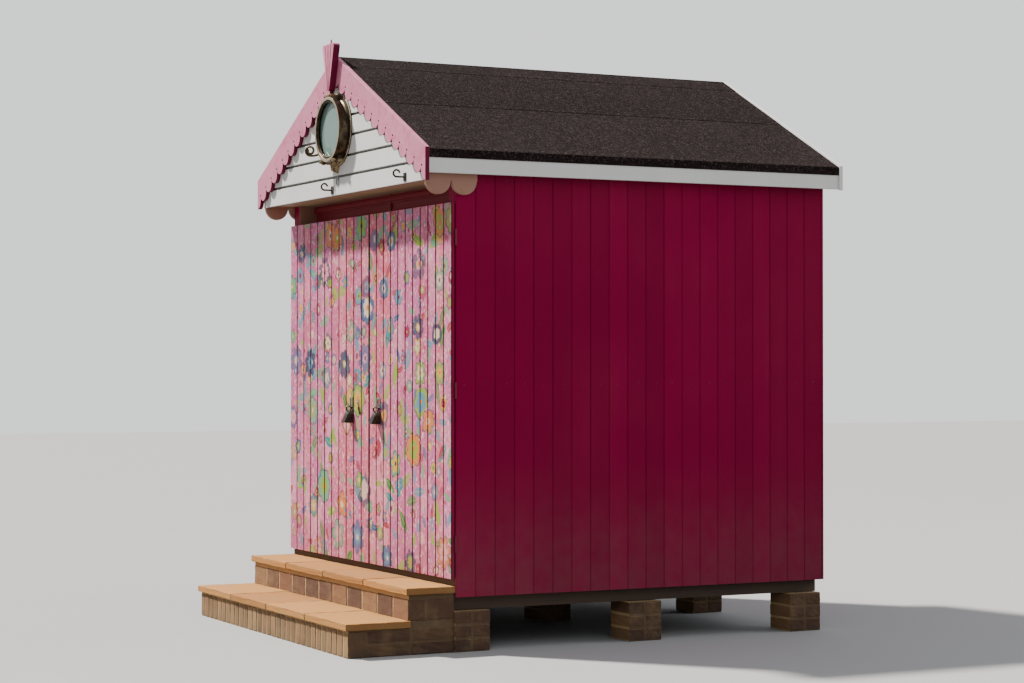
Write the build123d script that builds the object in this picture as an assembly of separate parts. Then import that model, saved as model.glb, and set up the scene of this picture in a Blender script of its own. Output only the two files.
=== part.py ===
"""A seaside beach hut: timber frame on brick piers, scalloped gable and a pair of board doors.

Millimetres. X runs along the front, Y from front to back and Z up from the ground.
The origin is on the ground under the middle of the hut and its steps.
"""
from build123d import *
import math
import os

os.makedirs("parts", exist_ok=True)

# Plan of the hut and its steps
hut_width = 2440
hut_depth = 2440
lower_step_going = 354
upper_step_going = 268
rear_overhang = 60
eaves_overhang = 80
gable_projection = 170
header_setback = 145

# Floor
pier_size = 215
pier_height = 225
bearer_width = 100
bearer_depth = 75
joist_width = 45
joist_depth = 95
joist_count = 7
deck_thickness = 18

# Walls
stud_width = 45
stud_depth = 70
plate_depth = 45
cladding_thickness = 18
cladding_top_gap = 1
side_stud_count = 4
rear_stud_count = 5
post_width = 75
post_depth = 145
threshold_height = 22
head_rail_depth = 75
header_panel_thickness = 18

# Doors
leaf_height = 2060
leaf_thickness = 20
leaf_lap = 13
leaf_gap = 6
leaf_edge_setback = 2
seam_offset = 70
seam_gap = 6
head_lap = 10
ledge_height = 95
ledge_thickness = 22
ledge_inset = 190
ledge_end_clearance = 10
ledge_seam_setback = 40
brace_width = 90
brace_gap = 0.5

# Hinges, with the pin just outside the corner of each leaf
pin_radius = 3
pin_clearance = 0.1
pin_setout = 6
knuckle_radius = 5.5
knuckle_height = 30
knuckle_gap = 0.5
hinge_plate_thickness = 2.5
hinge_plate_width = 70
plate_clearance = 1

# Door locks, each a staple, a ring and a padlock under a flared cover
left_lock_offset = -196
right_lock_offset = 218
lock_height = 978
staple_width = 40
staple_height = 62
staple_bar = 8
staple_thickness = 7
lock_ring_radius = 19
lock_ring_bar = 7
lock_ring_thickness = 8
lock_cover_width = 50
lock_cover_height = 74
lock_cover_neck = 22
lock_cover_reach = 58
lock_cover_wall = 3
padlock_width = 38
padlock_height = 78
padlock_depth = 22
padlock_rounding = 6
lock_clearance = 2

# Cabin hook on the left leaf, beside the seam
cabin_hook_offset = -92
cabin_hook_height = 948
cabin_plate_width = 24
cabin_plate_height = 34
cabin_plate_thickness = 3
cabin_arm_length = 78
cabin_arm_bar = 7
cabin_arm_lean = 24

# Roof
roof_slope = 0.5
plate_above_gable = 118
rafter_width = 45
rafter_depth = 95
rafter_pairs = 6
ridge_width = 25
ridge_depth = 140
roof_board_thickness = 18
felt_thickness = 4
felt_lip = 45
ridge_felt_width = 150
fascia_thickness = 18
fascia_drop = 10
eaves_setback = 8

# Gable and its trim
gable_above_door = 115
gable_panel_thickness = 20
soffit_rise = 10
soffit_thickness = 12
gable_stud_offset = 430
barge_thickness = 25
barge_upstand = 10
barge_band = 112
lobe_pitch = 110
cusp_hole_radius = 7
cusp_hole_rise = 4
rear_barge_depth = 130
return_thickness = 25
return_drop = 75
return_lobes = 2

# Finial
finial_thickness = 40
finial_top_width = 176
finial_foot_width = 34
finial_rise = 44
finial_drop = 197
finial_lobes = 4
flute_depth = 6
finial_pin_radius = 5
finial_pin_height = 26
finial_pin_seat = 12

# Porthole
porthole_drop = 440
glass_radius = 162
drum_radius = 180
drum_wall = 10
drum_depth = 45
flange_radius = 218
flange_thickness = 10
ring_radius = 194
ring_depth = 28
ring_rounding = 5
rebate_width = 11
rebate_depth = 9
glass_thickness = 8
glass_seat = 7
glass_setback = 16

# Porthole fittings: hinge at the top, bracket and wing nuts below, scroll at the left
hinge_rise = 5
hinge_radius = 13
hinge_lug_width = 15
hinge_tongue_width = 28
hinge_gap = 0.5
hinge_pin_radius = 6
hinge_pin_end = 8
bracket_half_width = 52
bracket_reach = 64
bracket_tip_radius = 9
bracket_taper = 14
bolt_angle = 27
bolt_setout = 14
bolt_radius = 5
bolt_clearance = 0.5
bolt_end = 20
bolt_lug_radius = 15
ear_radius = 17
ear_depth = 18
nut_radius = 10
nut_height = 11
wing_radius = 10
wing_spread = 19
wing_thickness = 6
scroll_angle = 36
scroll_radius = 25
scroll_bar = 6
scroll_pitch = 8
scroll_thickness = 9
scroll_setout = 36

# Hooks and the pointed ring under the porthole
hook_offsets = (-87, 977)
hook_rise = 34
hook_rod_radius = 4.5
hook_reach = 52
hook_bend_radius = 19
hook_plate_width = 34
hook_plate_height = 46
hook_plate_thickness = 4
ring_loop_radius = 21
ring_loop_bar = 5
ring_loop_point = 34
ring_loop_thickness = 6
ring_loop_drop = 112

# Brick steps with stone slabs
lower_step_height = 184
upper_step_height = 361
slab_thickness = 36
slab_nosing = 20
slab_tail = 10

# Planes that the pieces share
half_width = hut_width / 2
total_depth = (lower_step_going + upper_step_going + hut_depth
               + rear_overhang + barge_thickness)
front_y = -total_depth / 2
door_y = front_y + lower_step_going + upper_step_going
frame_y = door_y + leaf_thickness + leaf_gap
rear_y = door_y + hut_depth
rear_frame_y = rear_y - cladding_thickness
deck_rear_y = rear_y + rear_overhang
gable_y = door_y - gable_projection
gable_back_y = gable_y + gable_panel_thickness
header_y = door_y + header_setback
post_back_y = frame_y + post_depth

frame_x = half_width - cladding_thickness
stud_inner_x = frame_x - stud_depth
post_inner_x = frame_x - post_width
barge_end_x = half_width + eaves_overhang
deck_end_x = barge_end_x - eaves_setback
rafter_tail_x = deck_end_x - fascia_thickness
return_outer_x = half_width + return_thickness

bearer_z = pier_height
joist_z = bearer_z + bearer_depth
deck_z = joist_z + joist_depth
floor_z = deck_z + deck_thickness
bottom_plate_top = floor_z + plate_depth
leaf_bottom = floor_z - leaf_lap
leaf_top = leaf_bottom + leaf_height
head_rail_top = leaf_top - head_lap
head_rail_bottom = head_rail_top - head_rail_depth
gable_bottom = leaf_top + gable_above_door
soffit_bottom = gable_bottom + soffit_rise
soffit_top = soffit_bottom + soffit_thickness
plate_top = gable_bottom + plate_above_gable
plate_bottom = plate_top - plate_depth

slope_length = math.hypot(1, roof_slope)


def rafter_low(x):
    """Height of the rafters' lower edge at a distance x from the ridge."""
    return plate_top + roof_slope * (stud_inner_x - x)


def rafter_high(x):
    """Height of the rafters' upper edge, on which the roof boards lie."""
    return rafter_low(x) + rafter_depth * slope_length


def boards_high(x):
    """Height of the roof boards' upper face."""
    return rafter_high(x) + roof_board_thickness * slope_length


def felt_high(x):
    """Height of the felt's upper face."""
    return boards_high(x) + felt_thickness * slope_length


def barge_high(x):
    """Height of the bargeboards' upper edge, which stands above the felt."""
    return felt_high(x) + barge_upstand


cladding_bottom = joist_z
cladding_top = rafter_low(half_width) - cladding_top_gap
apex_z = barge_high(0)


def block(x0, x1, y0, y1, z0, z1):
    """A squared timber, sheet or slab between two opposite corners."""
    centre = Pos((x0 + x1) / 2, (y0 + y1) / 2, (z0 + z1) / 2)
    return centre * Box(x1 - x0, y1 - y0, z1 - z0)


def front_plane(y):
    """A plane that faces the front, on which sketches are drawn in X and Z."""
    return Plane(origin=(0, y, 0), x_dir=(1, 0, 0), z_dir=(0, -1, 0))


def side_plane(x):
    """A plane that faces the right, on which sketches are drawn in Y and Z."""
    return Plane(origin=(x, 0, 0), x_dir=(0, 1, 0), z_dir=(1, 0, 0))


def outline(points):
    """A flat face bounded by straight lines through the points."""
    return make_face(Polyline(*points, close=True))


def upright(face, back_y, front_of_y):
    """A face drawn in X and Z, as thick as the space between two planes."""
    return extrude(front_plane(back_y) * face, amount=back_y - front_of_y)


def mirrored(shape):
    """The same piece on the other side of the hut."""
    return mirror(shape, about=Plane.YZ)


def both_sides(shape):
    """A piece and its mirror image, which don't touch."""
    return [shape, mirrored(shape)]


def spread(first, last, count):
    """Evenly spaced centres from first to last."""
    step = (last - first) / (count - 1)
    return [first + step * index for index in range(count)]


def save(name, shapes):
    """Write one sub-part, which may be several solids that don't touch."""
    if not isinstance(shapes, list):
        shapes = [shapes]
    solids = [solid for shape in shapes for solid in shape.solids()]
    shape = solids[0] if len(solids) == 1 else Compound(children=solids)
    shape.label = name
    export_step(shape, f"parts/{name}.step")


# Floor: brick piers, bearers, joists and boarded deck
pier_x = half_width - cladding_thickness - bearer_width
pier_rows = spread(frame_y + pier_size / 2, rear_frame_y - pier_size / 2, 3)
bearer_rows = (-pier_x, 0, pier_x)


def brick_piers():
    """Three rows of three low piers, under the bearers."""
    piers = []
    for x in bearer_rows:
        for y in pier_rows:
            half = pier_size / 2
            piers.append(block(x - half, x + half, y - half, y + half, 0, pier_height))
    return piers


def floor_bearers():
    """Three bearers that run from front to back on the piers."""
    half = bearer_width / 2
    return [block(x - half, x + half, frame_y, rear_frame_y, bearer_z, joist_z)
            for x in bearer_rows]


def floor_joists():
    """Joists across the bearers, the outer two flush with the frame."""
    half = joist_width / 2
    rows = spread(frame_y + half, rear_frame_y - half, joist_count)
    return [block(-frame_x, frame_x, y - half, y + half, joist_z, deck_z) for y in rows]


save("brick_piers", brick_piers())
save("floor_bearers", floor_bearers())
save("floor_joists", floor_joists())
save("floor_deck", block(-frame_x, frame_x, frame_y, rear_frame_y, deck_z, floor_z))

# Front frame: corner posts, threshold, head rail and the panel over the doors
post = block(post_inner_x, frame_x, frame_y, post_back_y, floor_z, plate_bottom)
save("front_posts", both_sides(post))
save("threshold", block(-post_inner_x, post_inner_x, frame_y, post_back_y,
                        floor_z, floor_z + threshold_height))
save("head_rail", block(-post_inner_x, post_inner_x, frame_y, post_back_y,
                        head_rail_bottom, head_rail_top))
save("header_panel", block(-post_inner_x, post_inner_x, header_y,
                           header_y + header_panel_thickness, head_rail_top, soffit_top))

# Side and rear walls: studs, plates and cladding
side_stud_rows = spread(frame_y + post_depth / 2, rear_frame_y - stud_width / 2,
                        side_stud_count + 1)[1:]
rear_stud_columns = spread(-stud_inner_x + stud_width / 2, stud_inner_x - stud_width / 2,
                           rear_stud_count)


def gable_stud(x, y0, y1):
    """A stud over a tie, its top cut to the slope of the rafters."""
    inner = x - stud_width / 2
    outer = x + stud_width / 2
    face = outline([(inner, plate_top), (outer, plate_top),
                    (outer, rafter_low(outer)), (inner, rafter_low(inner))])
    return upright(face, y1, y0)


def wall_studs():
    """Every stud of the three walls and of the two gables."""
    studs = []
    half = stud_width / 2
    for y in side_stud_rows:
        stud = block(stud_inner_x, frame_x, y - half, y + half,
                     bottom_plate_top, plate_bottom)
        studs += both_sides(stud)
    for x in rear_stud_columns:
        studs.append(block(x - half, x + half, rear_frame_y - stud_depth, rear_frame_y,
                           bottom_plate_top, plate_bottom))
    studs += both_sides(gable_stud(gable_stud_offset, rear_frame_y - stud_depth,
                                   rear_frame_y))
    studs += both_sides(gable_stud(gable_stud_offset, gable_back_y,
                                   gable_back_y + rafter_width))
    return studs


def wall_plates():
    """Bottom and top plates; the side ones run forward to carry the gable."""
    side_bottom = block(stud_inner_x, frame_x, post_back_y, rear_frame_y,
                        floor_z, bottom_plate_top)
    side_top = block(stud_inner_x, frame_x, gable_back_y, rear_frame_y,
                     plate_bottom, plate_top)
    sides = both_sides(side_bottom) + both_sides(side_top)
    return sides


def rear_plates():
    """Bottom and top plates of the rear wall, between the side ones."""
    y0 = rear_frame_y - stud_depth
    return [block(-stud_inner_x, stud_inner_x, y0, rear_frame_y, floor_z, bottom_plate_top),
            block(-stud_inner_x, stud_inner_x, y0, rear_frame_y, plate_bottom, plate_top)]


def rear_cladding():
    """The rear wall's boards, cut to the slope of the roof."""
    face = outline([(-half_width, cladding_bottom), (half_width, cladding_bottom),
                    (half_width, rafter_high(half_width)), (0, rafter_high(0)),
                    (-half_width, rafter_high(half_width))])
    return upright(face, rear_y, rear_frame_y)


side_cladding = block(frame_x, half_width, frame_y, rear_frame_y,
                      cladding_bottom, cladding_top)
save("wall_studs", wall_studs())
save("side_wall_plates", wall_plates())
save("rear_wall_plates", rear_plates())
save("right_wall_cladding", side_cladding)
save("left_wall_cladding", mirrored(side_cladding))
save("rear_wall_cladding", rear_cladding())

# Roof: rafters notched over the plates, ridge board, boards, felt and fascias
ridge_half = ridge_width / 2


def rafter(y):
    """One rafter with its birdsmouth seated on the top plate."""
    face = outline([
        (ridge_half, rafter_low(ridge_half)),
        (stud_inner_x, plate_top),
        (frame_x, plate_top),
        (frame_x, rafter_low(frame_x)),
        (rafter_tail_x, rafter_low(rafter_tail_x)),
        (rafter_tail_x, rafter_high(rafter_tail_x)),
        (ridge_half, rafter_high(ridge_half)),
    ])
    return upright(face, y + rafter_width / 2, y - rafter_width / 2)


def rafters():
    """Pairs of rafters from the projecting gable to the rear wall."""
    rows = spread(gable_back_y + rafter_width / 2, rear_frame_y - rafter_width / 2,
                  rafter_pairs)
    pairs = []
    for y in rows:
        pairs += both_sides(rafter(y))
    return pairs


def ridge_board():
    """The board between the rafters, its top cut to both slopes."""
    low = rafter_high(ridge_half) - ridge_depth
    face = outline([(-ridge_half, low), (ridge_half, low),
                    (ridge_half, rafter_high(ridge_half)), (0, rafter_high(0)),
                    (-ridge_half, rafter_high(ridge_half))])
    return upright(face, rear_frame_y, gable_back_y)


def roof_boards():
    """The boarded right slope."""
    face = outline([(0, rafter_high(0)), (deck_end_x, rafter_high(deck_end_x)),
                    (deck_end_x, boards_high(deck_end_x)), (0, boards_high(0))])
    return upright(face, deck_rear_y, gable_y)


def roof_felt():
    """The felt on the right slope, turned down over the eaves."""
    lip_x = deck_end_x + felt_thickness
    lip_z = boards_high(deck_end_x) - felt_lip
    face = outline([(0, boards_high(0)), (deck_end_x, boards_high(deck_end_x)),
                    (deck_end_x, lip_z), (lip_x, lip_z),
                    (lip_x, felt_high(lip_x)), (0, felt_high(0))])
    return upright(face, deck_rear_y, gable_y)


def ridge_felt():
    """A strip of felt folded over the ridge."""
    thickness = felt_thickness * slope_length
    edge_x = ridge_felt_width
    face = outline([(-edge_x, felt_high(edge_x)), (0, felt_high(0)),
                    (edge_x, felt_high(edge_x)), (edge_x, felt_high(edge_x) + thickness),
                    (0, felt_high(0) + thickness),
                    (-edge_x, felt_high(edge_x) + thickness)])
    return upright(face, deck_rear_y, gable_y)


right_boards = roof_boards()
right_felt = roof_felt()
fascia = block(rafter_tail_x, deck_end_x, gable_y, deck_rear_y,
               rafter_low(rafter_tail_x) - fascia_drop, rafter_high(deck_end_x))
save("rafters", rafters())
save("ridge_board", ridge_board())
save("right_roof_boards", right_boards)
save("left_roof_boards", mirrored(right_boards))
save("right_roof_felt", right_felt)
save("left_roof_felt", mirrored(right_felt))
save("ridge_felt", ridge_felt())
save("eaves_fascias", both_sides(fascia))

# Projecting gable: tie, panel with the porthole's hole, soffit and scalloped returns
porthole_z = apex_z - porthole_drop


def gable_panel():
    """The boarded gable, cut round for the porthole."""
    face = outline([(-half_width, gable_bottom), (half_width, gable_bottom),
                    (half_width, rafter_high(half_width)), (0, rafter_high(0)),
                    (-half_width, rafter_high(half_width))])
    face -= Pos(0, porthole_z) * Circle(drum_radius - drum_wall)
    return upright(face, gable_back_y, gable_y)


def gable_soffit():
    """The sheet under the projection, notched round the corner posts."""
    face = outline([(-frame_x, gable_back_y), (frame_x, gable_back_y),
                    (frame_x, frame_y), (post_inner_x, frame_y),
                    (post_inner_x, header_y), (-post_inner_x, header_y),
                    (-post_inner_x, frame_y), (-frame_x, frame_y)])
    return extrude(Pos(0, 0, soffit_bottom) * face, amount=soffit_thickness)


def return_board():
    """The right return of the gable: a board with round lobes on a backing strip."""
    low = gable_bottom
    high = rafter_low(return_outer_x)
    face = outline([(gable_y, low), (header_y, low), (header_y, high), (gable_y, high)])
    pitch = (header_y - gable_y) / return_lobes
    radius = min(return_drop, pitch / 2)
    for index in range(return_lobes):
        centre = gable_y + pitch * (index + 0.5)
        lobe = Circle(radius)
        face += Pos(centre, low - return_drop + radius) * lobe
    face &= outline([(gable_y, 0), (header_y, 0), (header_y, high), (gable_y, high)])
    board = extrude(side_plane(half_width) * face, amount=return_thickness)
    backing = block(frame_x, half_width, gable_back_y, frame_y, soffit_bottom, cladding_top)
    return board + backing


save("gable_tie", block(-stud_inner_x, stud_inner_x, gable_back_y,
                        gable_back_y + rafter_width, soffit_top, plate_top))
save("gable_panel", gable_panel())
save("gable_soffit", gable_soffit())
save("return_boards", both_sides(return_board()))

# Bargeboards and finial
barge_front_y = gable_y - barge_thickness
finial_front_y = barge_front_y - finial_thickness
band_height = barge_band * slope_length


def right_bargeboard():
    """A scalloped board under the roof's front edge, plumb cut at both ends.

    The lobes are counted from the eaves, where the cut through the middle of the last
    one leaves a point. Each cusp between two lobes ends in a drilled hole.
    """
    board = outline([(0, apex_z), (barge_end_x, barge_high(barge_end_x)),
                     (barge_end_x, barge_high(barge_end_x) - band_height),
                     (0, apex_z - band_height)])
    lobe_step = lobe_pitch / slope_length
    lobe_count = math.ceil(barge_end_x / lobe_step) + 1
    holes = []
    for index in range(lobe_count):
        lobe_x = barge_end_x - lobe_step * index
        lobe_z = barge_high(lobe_x) - band_height
        board += Pos(lobe_x, lobe_z) * Circle(lobe_pitch / 2)
        hole_x = lobe_x - lobe_step / 2
        if hole_x > finial_top_width / 2:
            hole_z = barge_high(hole_x) - band_height + cusp_hole_rise
            holes.append(Pos(hole_x, hole_z) * Circle(cusp_hole_radius))
    for hole in holes:
        board -= hole
    tall = apex_z
    board &= outline([(0, 0), (barge_end_x, 0), (barge_end_x, tall), (0, tall)])
    return upright(board, gable_y, barge_front_y)


def rear_bargeboard():
    """The plain right board at the rear."""
    half_joint = 0.5
    depth = rear_barge_depth * slope_length
    face = outline([(half_joint, barge_high(half_joint)),
                    (barge_end_x, barge_high(barge_end_x)),
                    (barge_end_x, barge_high(barge_end_x) - depth),
                    (half_joint, barge_high(half_joint) - depth)])
    return upright(face, deck_rear_y + barge_thickness, deck_rear_y)


def finial():
    """A tapered shield over the apex, with a lobed top, flutes and a metal pin."""
    top_z = apex_z + finial_rise
    foot_z = apex_z - finial_drop
    half_top = finial_top_width / 2
    half_foot = finial_foot_width / 2
    shield = outline([(-half_top, top_z), (half_top, top_z), (half_foot, foot_z),
                      (-half_foot, foot_z)])
    lobe_width = finial_top_width / finial_lobes
    for index in range(finial_lobes):
        x = -half_top + lobe_width * (index + 0.5)
        shield += Pos(x, top_z) * Circle(lobe_width / 2)
    shield += Pos(0, foot_z) * Circle(half_foot)
    body = upright(shield, barge_front_y, finial_front_y)
    reach = top_z - foot_z
    groove_side = flute_depth * math.sqrt(2)
    for index in range(1, finial_lobes):
        top_x = -half_top + lobe_width * index
        foot_x = top_x * half_foot / half_top
        lean = math.degrees(math.atan2(top_x - foot_x, reach))
        middle = Pos((top_x + foot_x) / 2, finial_front_y, (top_z + foot_z) / 2)
        groove = Box(groove_side, groove_side, reach * 1.2)
        body -= middle * Rot(0, lean, 0) * Rot(0, 0, 45) * groove
    pin_y = (barge_front_y + finial_front_y) / 2
    pin_foot = top_z - finial_pin_seat
    pin_top = top_z + lobe_width / 2 + finial_pin_height
    pin = Pos(0, pin_y, pin_foot) * Cylinder(
        finial_pin_radius, pin_top - pin_foot,
        align=(Align.CENTER, Align.CENTER, Align.MIN))
    return body + pin


right_barge = right_bargeboard()
save("right_bargeboard", right_barge)
save("left_bargeboard", mirrored(right_barge))
save("rear_bargeboards", both_sides(rear_bargeboard()))
save("finial", finial())

# Doors: boards on ledges and braces, hung on pins outside the corners
seam_x = seam_offset
pin_x = half_width + pin_setout
pin_y = door_y + leaf_thickness + leaf_gap / 2
leaf_edge_x = half_width - leaf_edge_setback
leaf_back_y = door_y + leaf_thickness
ledge_back_y = leaf_back_y + ledge_thickness
ledge_end_x = post_inner_x - ledge_end_clearance
ledge_rows = spread(leaf_bottom + ledge_inset, leaf_top - ledge_inset, 3)


def leaf_boards(seam_edge):
    """One leaf's boards, from its outer edge at the right to the meeting edge."""
    return block(seam_edge, leaf_edge_x, door_y, leaf_back_y, leaf_bottom, leaf_top)


def leaf_ledges(seam_edge):
    """Three ledges and the two braces that rise from the hinge side between them."""
    inner = seam_edge + ledge_seam_setback
    pieces = []
    half = ledge_height / 2
    for z in ledge_rows:
        pieces.append(block(inner, ledge_end_x, leaf_back_y, ledge_back_y,
                            z - half, z + half))
    for low, high in zip(ledge_rows, ledge_rows[1:]):
        z0 = low + half + brace_gap
        z1 = high - half - brace_gap
        face = outline([(ledge_end_x, z0), (ledge_end_x - brace_width, z0),
                        (inner, z1), (inner + brace_width, z1)])
        pieces.append(upright(face, ledge_back_y, leaf_back_y))
    return pieces


def knuckle(low, high, radius):
    """An upright cylinder on the right leaf's hinge axis."""
    centre = Pos(pin_x, pin_y, low)
    return centre * Cylinder(radius, high - low,
                             align=(Align.CENTER, Align.CENTER, Align.MIN))


def hinge_plate(y0, y1, low, high, tongues):
    """A plate beside the barrel, joined to it by tongues at the given heights."""
    near_x = pin_x - knuckle_radius - plate_clearance
    far_x = near_x - hinge_plate_width
    plate = block(far_x, near_x, y0, y1, low, high)
    for tongue_low, tongue_high in tongues:
        plate += block(near_x, pin_x, y0, y1, tongue_low, tongue_high)
    return plate


def leaf_hinge(z):
    """The half of a hinge on the leaf, with the middle knuckle."""
    low = z - knuckle_height * 1.5
    high = z + knuckle_height * 1.5
    tongue = (z - knuckle_height / 2 + knuckle_gap, z + knuckle_height / 2 - knuckle_gap)
    plate = hinge_plate(leaf_back_y, leaf_back_y + hinge_plate_thickness, low, high,
                        [tongue])
    half = plate + knuckle(*tongue, knuckle_radius)
    return half - knuckle(*tongue, pin_radius + pin_clearance)


def post_hinge(z):
    """The half of a hinge on the post, with the outer knuckles and the pin."""
    low = z - knuckle_height * 1.5
    high = z + knuckle_height * 1.5
    tongues = [(low, z - knuckle_height / 2), (z + knuckle_height / 2, high)]
    half = hinge_plate(frame_y - hinge_plate_thickness, frame_y, low, high, tongues)
    for tongue in tongues:
        half += knuckle(*tongue, knuckle_radius)
    return half + knuckle(low, high, pin_radius)


def lock_cover(x, back, top):
    """A sheet cover, open behind and below, that flares out over the padlock."""
    half = lock_cover_width / 2
    low = top - lock_cover_height
    neck = back - lock_cover_neck
    reach = back - lock_cover_reach
    outer = outline([(back, top), (neck, top), (reach, low), (back, low)])
    wall = lock_cover_wall
    inner = outline([(back, top - wall), (neck + wall, top - wall), (reach + wall, low),
                     (back, low)])
    hood = extrude(side_plane(x - half) * outer, amount=lock_cover_width)
    hollow = extrude(side_plane(x - half + wall) * inner, amount=lock_cover_width - 2 * wall)
    return hood - hollow


def door_lock(x):
    """A staple on the door, a ring through it and a padlock under a flared cover."""
    top = leaf_bottom + lock_height
    half = staple_width / 2
    low = top - staple_height
    staple = block(x - half, x + half, door_y - staple_thickness, door_y, low, top)
    staple -= block(x - half + staple_bar, x + half - staple_bar,
                    door_y - staple_thickness, door_y, low, top - staple_bar)
    boss_top = low + staple_bar
    staple += block(x - half, x + half, door_y - staple_thickness, door_y, low, boss_top)
    ring_z = low - lock_ring_radius + 2 * lock_ring_bar
    ring_y = door_y - lock_clearance - lock_ring_radius
    loop = Pos(ring_y, ring_z) * (Circle(lock_ring_radius)
                                  - Circle(lock_ring_radius - lock_ring_bar))
    ring = extrude(side_plane(x - lock_ring_thickness / 2) * loop,
                   amount=lock_ring_thickness)
    eye = block(x - lock_ring_thickness / 2, x + lock_ring_thickness / 2,
                ring_y, door_y - staple_thickness, low, boss_top)
    cover_top = ring_z - lock_ring_radius + lock_ring_bar
    back = door_y - lock_clearance
    cover = lock_cover(x, back, cover_top)
    face = Pos(x, cover_top - padlock_height / 2) * RectangleRounded(
        padlock_width, padlock_height, padlock_rounding)
    padlock_back = back - lock_clearance
    padlock = upright(face, padlock_back, padlock_back - padlock_depth)
    return staple + eye + ring + cover + padlock


def cabin_hook(x):
    """A small plate with a hook that hangs from it across the board."""
    z = leaf_bottom + cabin_hook_height
    plate = block(x - cabin_plate_width / 2, x + cabin_plate_width / 2,
                  door_y - cabin_plate_thickness, door_y,
                  z - cabin_plate_height / 2, z + cabin_plate_height / 2)
    arm = Rot(0, -cabin_arm_lean, 0) * Box(
        cabin_arm_bar, cabin_arm_bar, cabin_arm_length,
        align=(Align.CENTER, Align.MAX, Align.MAX))
    return plate + Pos(x, door_y - cabin_plate_thickness, z) * arm


right_seam = seam_x + seam_gap / 2
left_seam = -(seam_x - seam_gap / 2)
save("right_door_boards", leaf_boards(right_seam))
save("left_door_boards", mirrored(leaf_boards(left_seam)))
save("right_door_ledges", leaf_ledges(right_seam))
save("left_door_ledges", [mirrored(piece) for piece in leaf_ledges(left_seam)])
leaf_hinges = [leaf_hinge(z) for z in ledge_rows]
post_hinges = [post_hinge(z) for z in ledge_rows]
save("right_door_hinges", leaf_hinges)
save("left_door_hinges", [mirrored(half) for half in leaf_hinges])
save("post_hinges", post_hinges + [mirrored(half) for half in post_hinges])
save("right_door_lock", door_lock(right_lock_offset))
save("left_door_lock", [door_lock(left_lock_offset), cabin_hook(cabin_hook_offset)])

# Porthole: flange with its drum, ring, glass and fittings
drum_front_y = gable_y - drum_depth
ring_front_y = drum_front_y - ring_depth
bolt_offset = (ring_radius + bolt_setout) * math.sin(math.radians(bolt_angle))
bolt_z = porthole_z - (ring_radius + bolt_setout) * math.cos(math.radians(bolt_angle))
ear_front_y = drum_front_y - ear_depth


def turned(points):
    """A ring turned about the porthole's axis, from a section in radius and Y."""
    return Pos(0, 0, porthole_z) * revolve(outline(points), axis=Axis.Y)


def disc(x, z, radius, back_y, front_of_y):
    """A round boss that faces the front, between two planes."""
    return upright(Pos(x, z) * Circle(radius), back_y, front_of_y)


def porthole_flange():
    """The flange against the boards and the drum that stands out from it."""
    inner = drum_radius - drum_wall
    return turned([(inner, gable_y), (flange_radius, gable_y),
                   (flange_radius, gable_y - flange_thickness * 0.6),
                   (drum_radius + flange_thickness, gable_y - flange_thickness),
                   (drum_radius, gable_y - flange_thickness * 2),
                   (drum_radius, drum_front_y), (inner, drum_front_y)])


def porthole_ring():
    """The glazing ring: a round rim, a step inside it, a rebate and two bolt ears."""
    seat_y = ring_front_y + glass_setback
    seat_radius = glass_radius + glass_seat
    step_radius = glass_radius + rebate_width
    step_y = ring_front_y + rebate_depth
    near = ring_rounding
    bend = ring_rounding * (1 - math.sqrt(0.5))
    ring = turned([(glass_radius, step_y), (glass_radius, seat_y), (seat_radius, seat_y),
                   (seat_radius, drum_front_y), (ring_radius, drum_front_y),
                   (ring_radius, ring_front_y + near),
                   (ring_radius - bend, ring_front_y + bend),
                   (ring_radius - near, ring_front_y), (step_radius + near, ring_front_y),
                   (step_radius + bend, ring_front_y + bend), (step_radius, step_y)])
    inner = Pos(0, porthole_z) * Circle((seat_radius + ring_radius) / 2)
    for x in (-bolt_offset, bolt_offset):
        ear = Pos(x, bolt_z) * Circle(ear_radius) - inner
        ear -= Pos(x, bolt_z) * Circle(bolt_radius + bolt_clearance)
        ring += upright(ear, drum_front_y, ear_front_y)
    return ring


def porthole_glass():
    """The thick round glass, bedded in the ring's rebate."""
    seat_y = ring_front_y + glass_setback
    face = Pos(0, porthole_z) * Circle(glass_radius + glass_seat)
    return upright(face, seat_y + glass_thickness, seat_y)


def side_bar(face, x0, x1):
    """A face drawn in Y and Z, as long as the space between two places along X."""
    return extrude(side_plane(x0) * face, amount=x1 - x0)


def porthole_hinge():
    """Two lugs that reach from the drum over its top, a tongue between, and their pin."""
    pin_z = porthole_z + ring_radius + hinge_rise
    pin_y = drum_front_y - hinge_radius
    barrel = Pos(pin_y, pin_z) * Circle(hinge_radius)
    arm = outline([(pin_y, pin_z + hinge_radius), (gable_y, pin_z),
                   (gable_y, porthole_z), (drum_front_y, porthole_z),
                   (drum_front_y, pin_z - hinge_radius), (pin_y, pin_z - hinge_radius)])
    tongue_face = barrel + outline([(pin_y - hinge_radius, pin_z), (pin_y, pin_z),
                                    (pin_y, porthole_z), (pin_y - hinge_radius, porthole_z)])
    tongue_half = hinge_tongue_width / 2
    lug_near = tongue_half + hinge_gap
    lug_far = lug_near + hinge_lug_width
    lug = side_bar(barrel + arm, lug_near, lug_far)
    pin_half = lug_far + hinge_pin_end
    pin = side_bar(Pos(pin_y, pin_z) * Circle(hinge_pin_radius), -pin_half, pin_half)
    tongue = side_bar(tongue_face, -tongue_half, tongue_half)
    return lug + mirrored(lug) + pin + tongue


def porthole_bracket():
    """The pointed bracket under the drum, which narrows towards the front."""
    tip_z = porthole_z - ring_radius - bracket_reach + bracket_tip_radius
    root_z = porthole_z - drum_radius * 0.9
    face = outline([(-bracket_half_width, root_z), (bracket_half_width, root_z),
                    (bracket_tip_radius, tip_z), (-bracket_tip_radius, tip_z)])
    face += Pos(0, tip_z) * Circle(bracket_tip_radius)
    return extrude(front_plane(gable_y) * face, amount=drum_depth, taper=bracket_taper)


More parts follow.
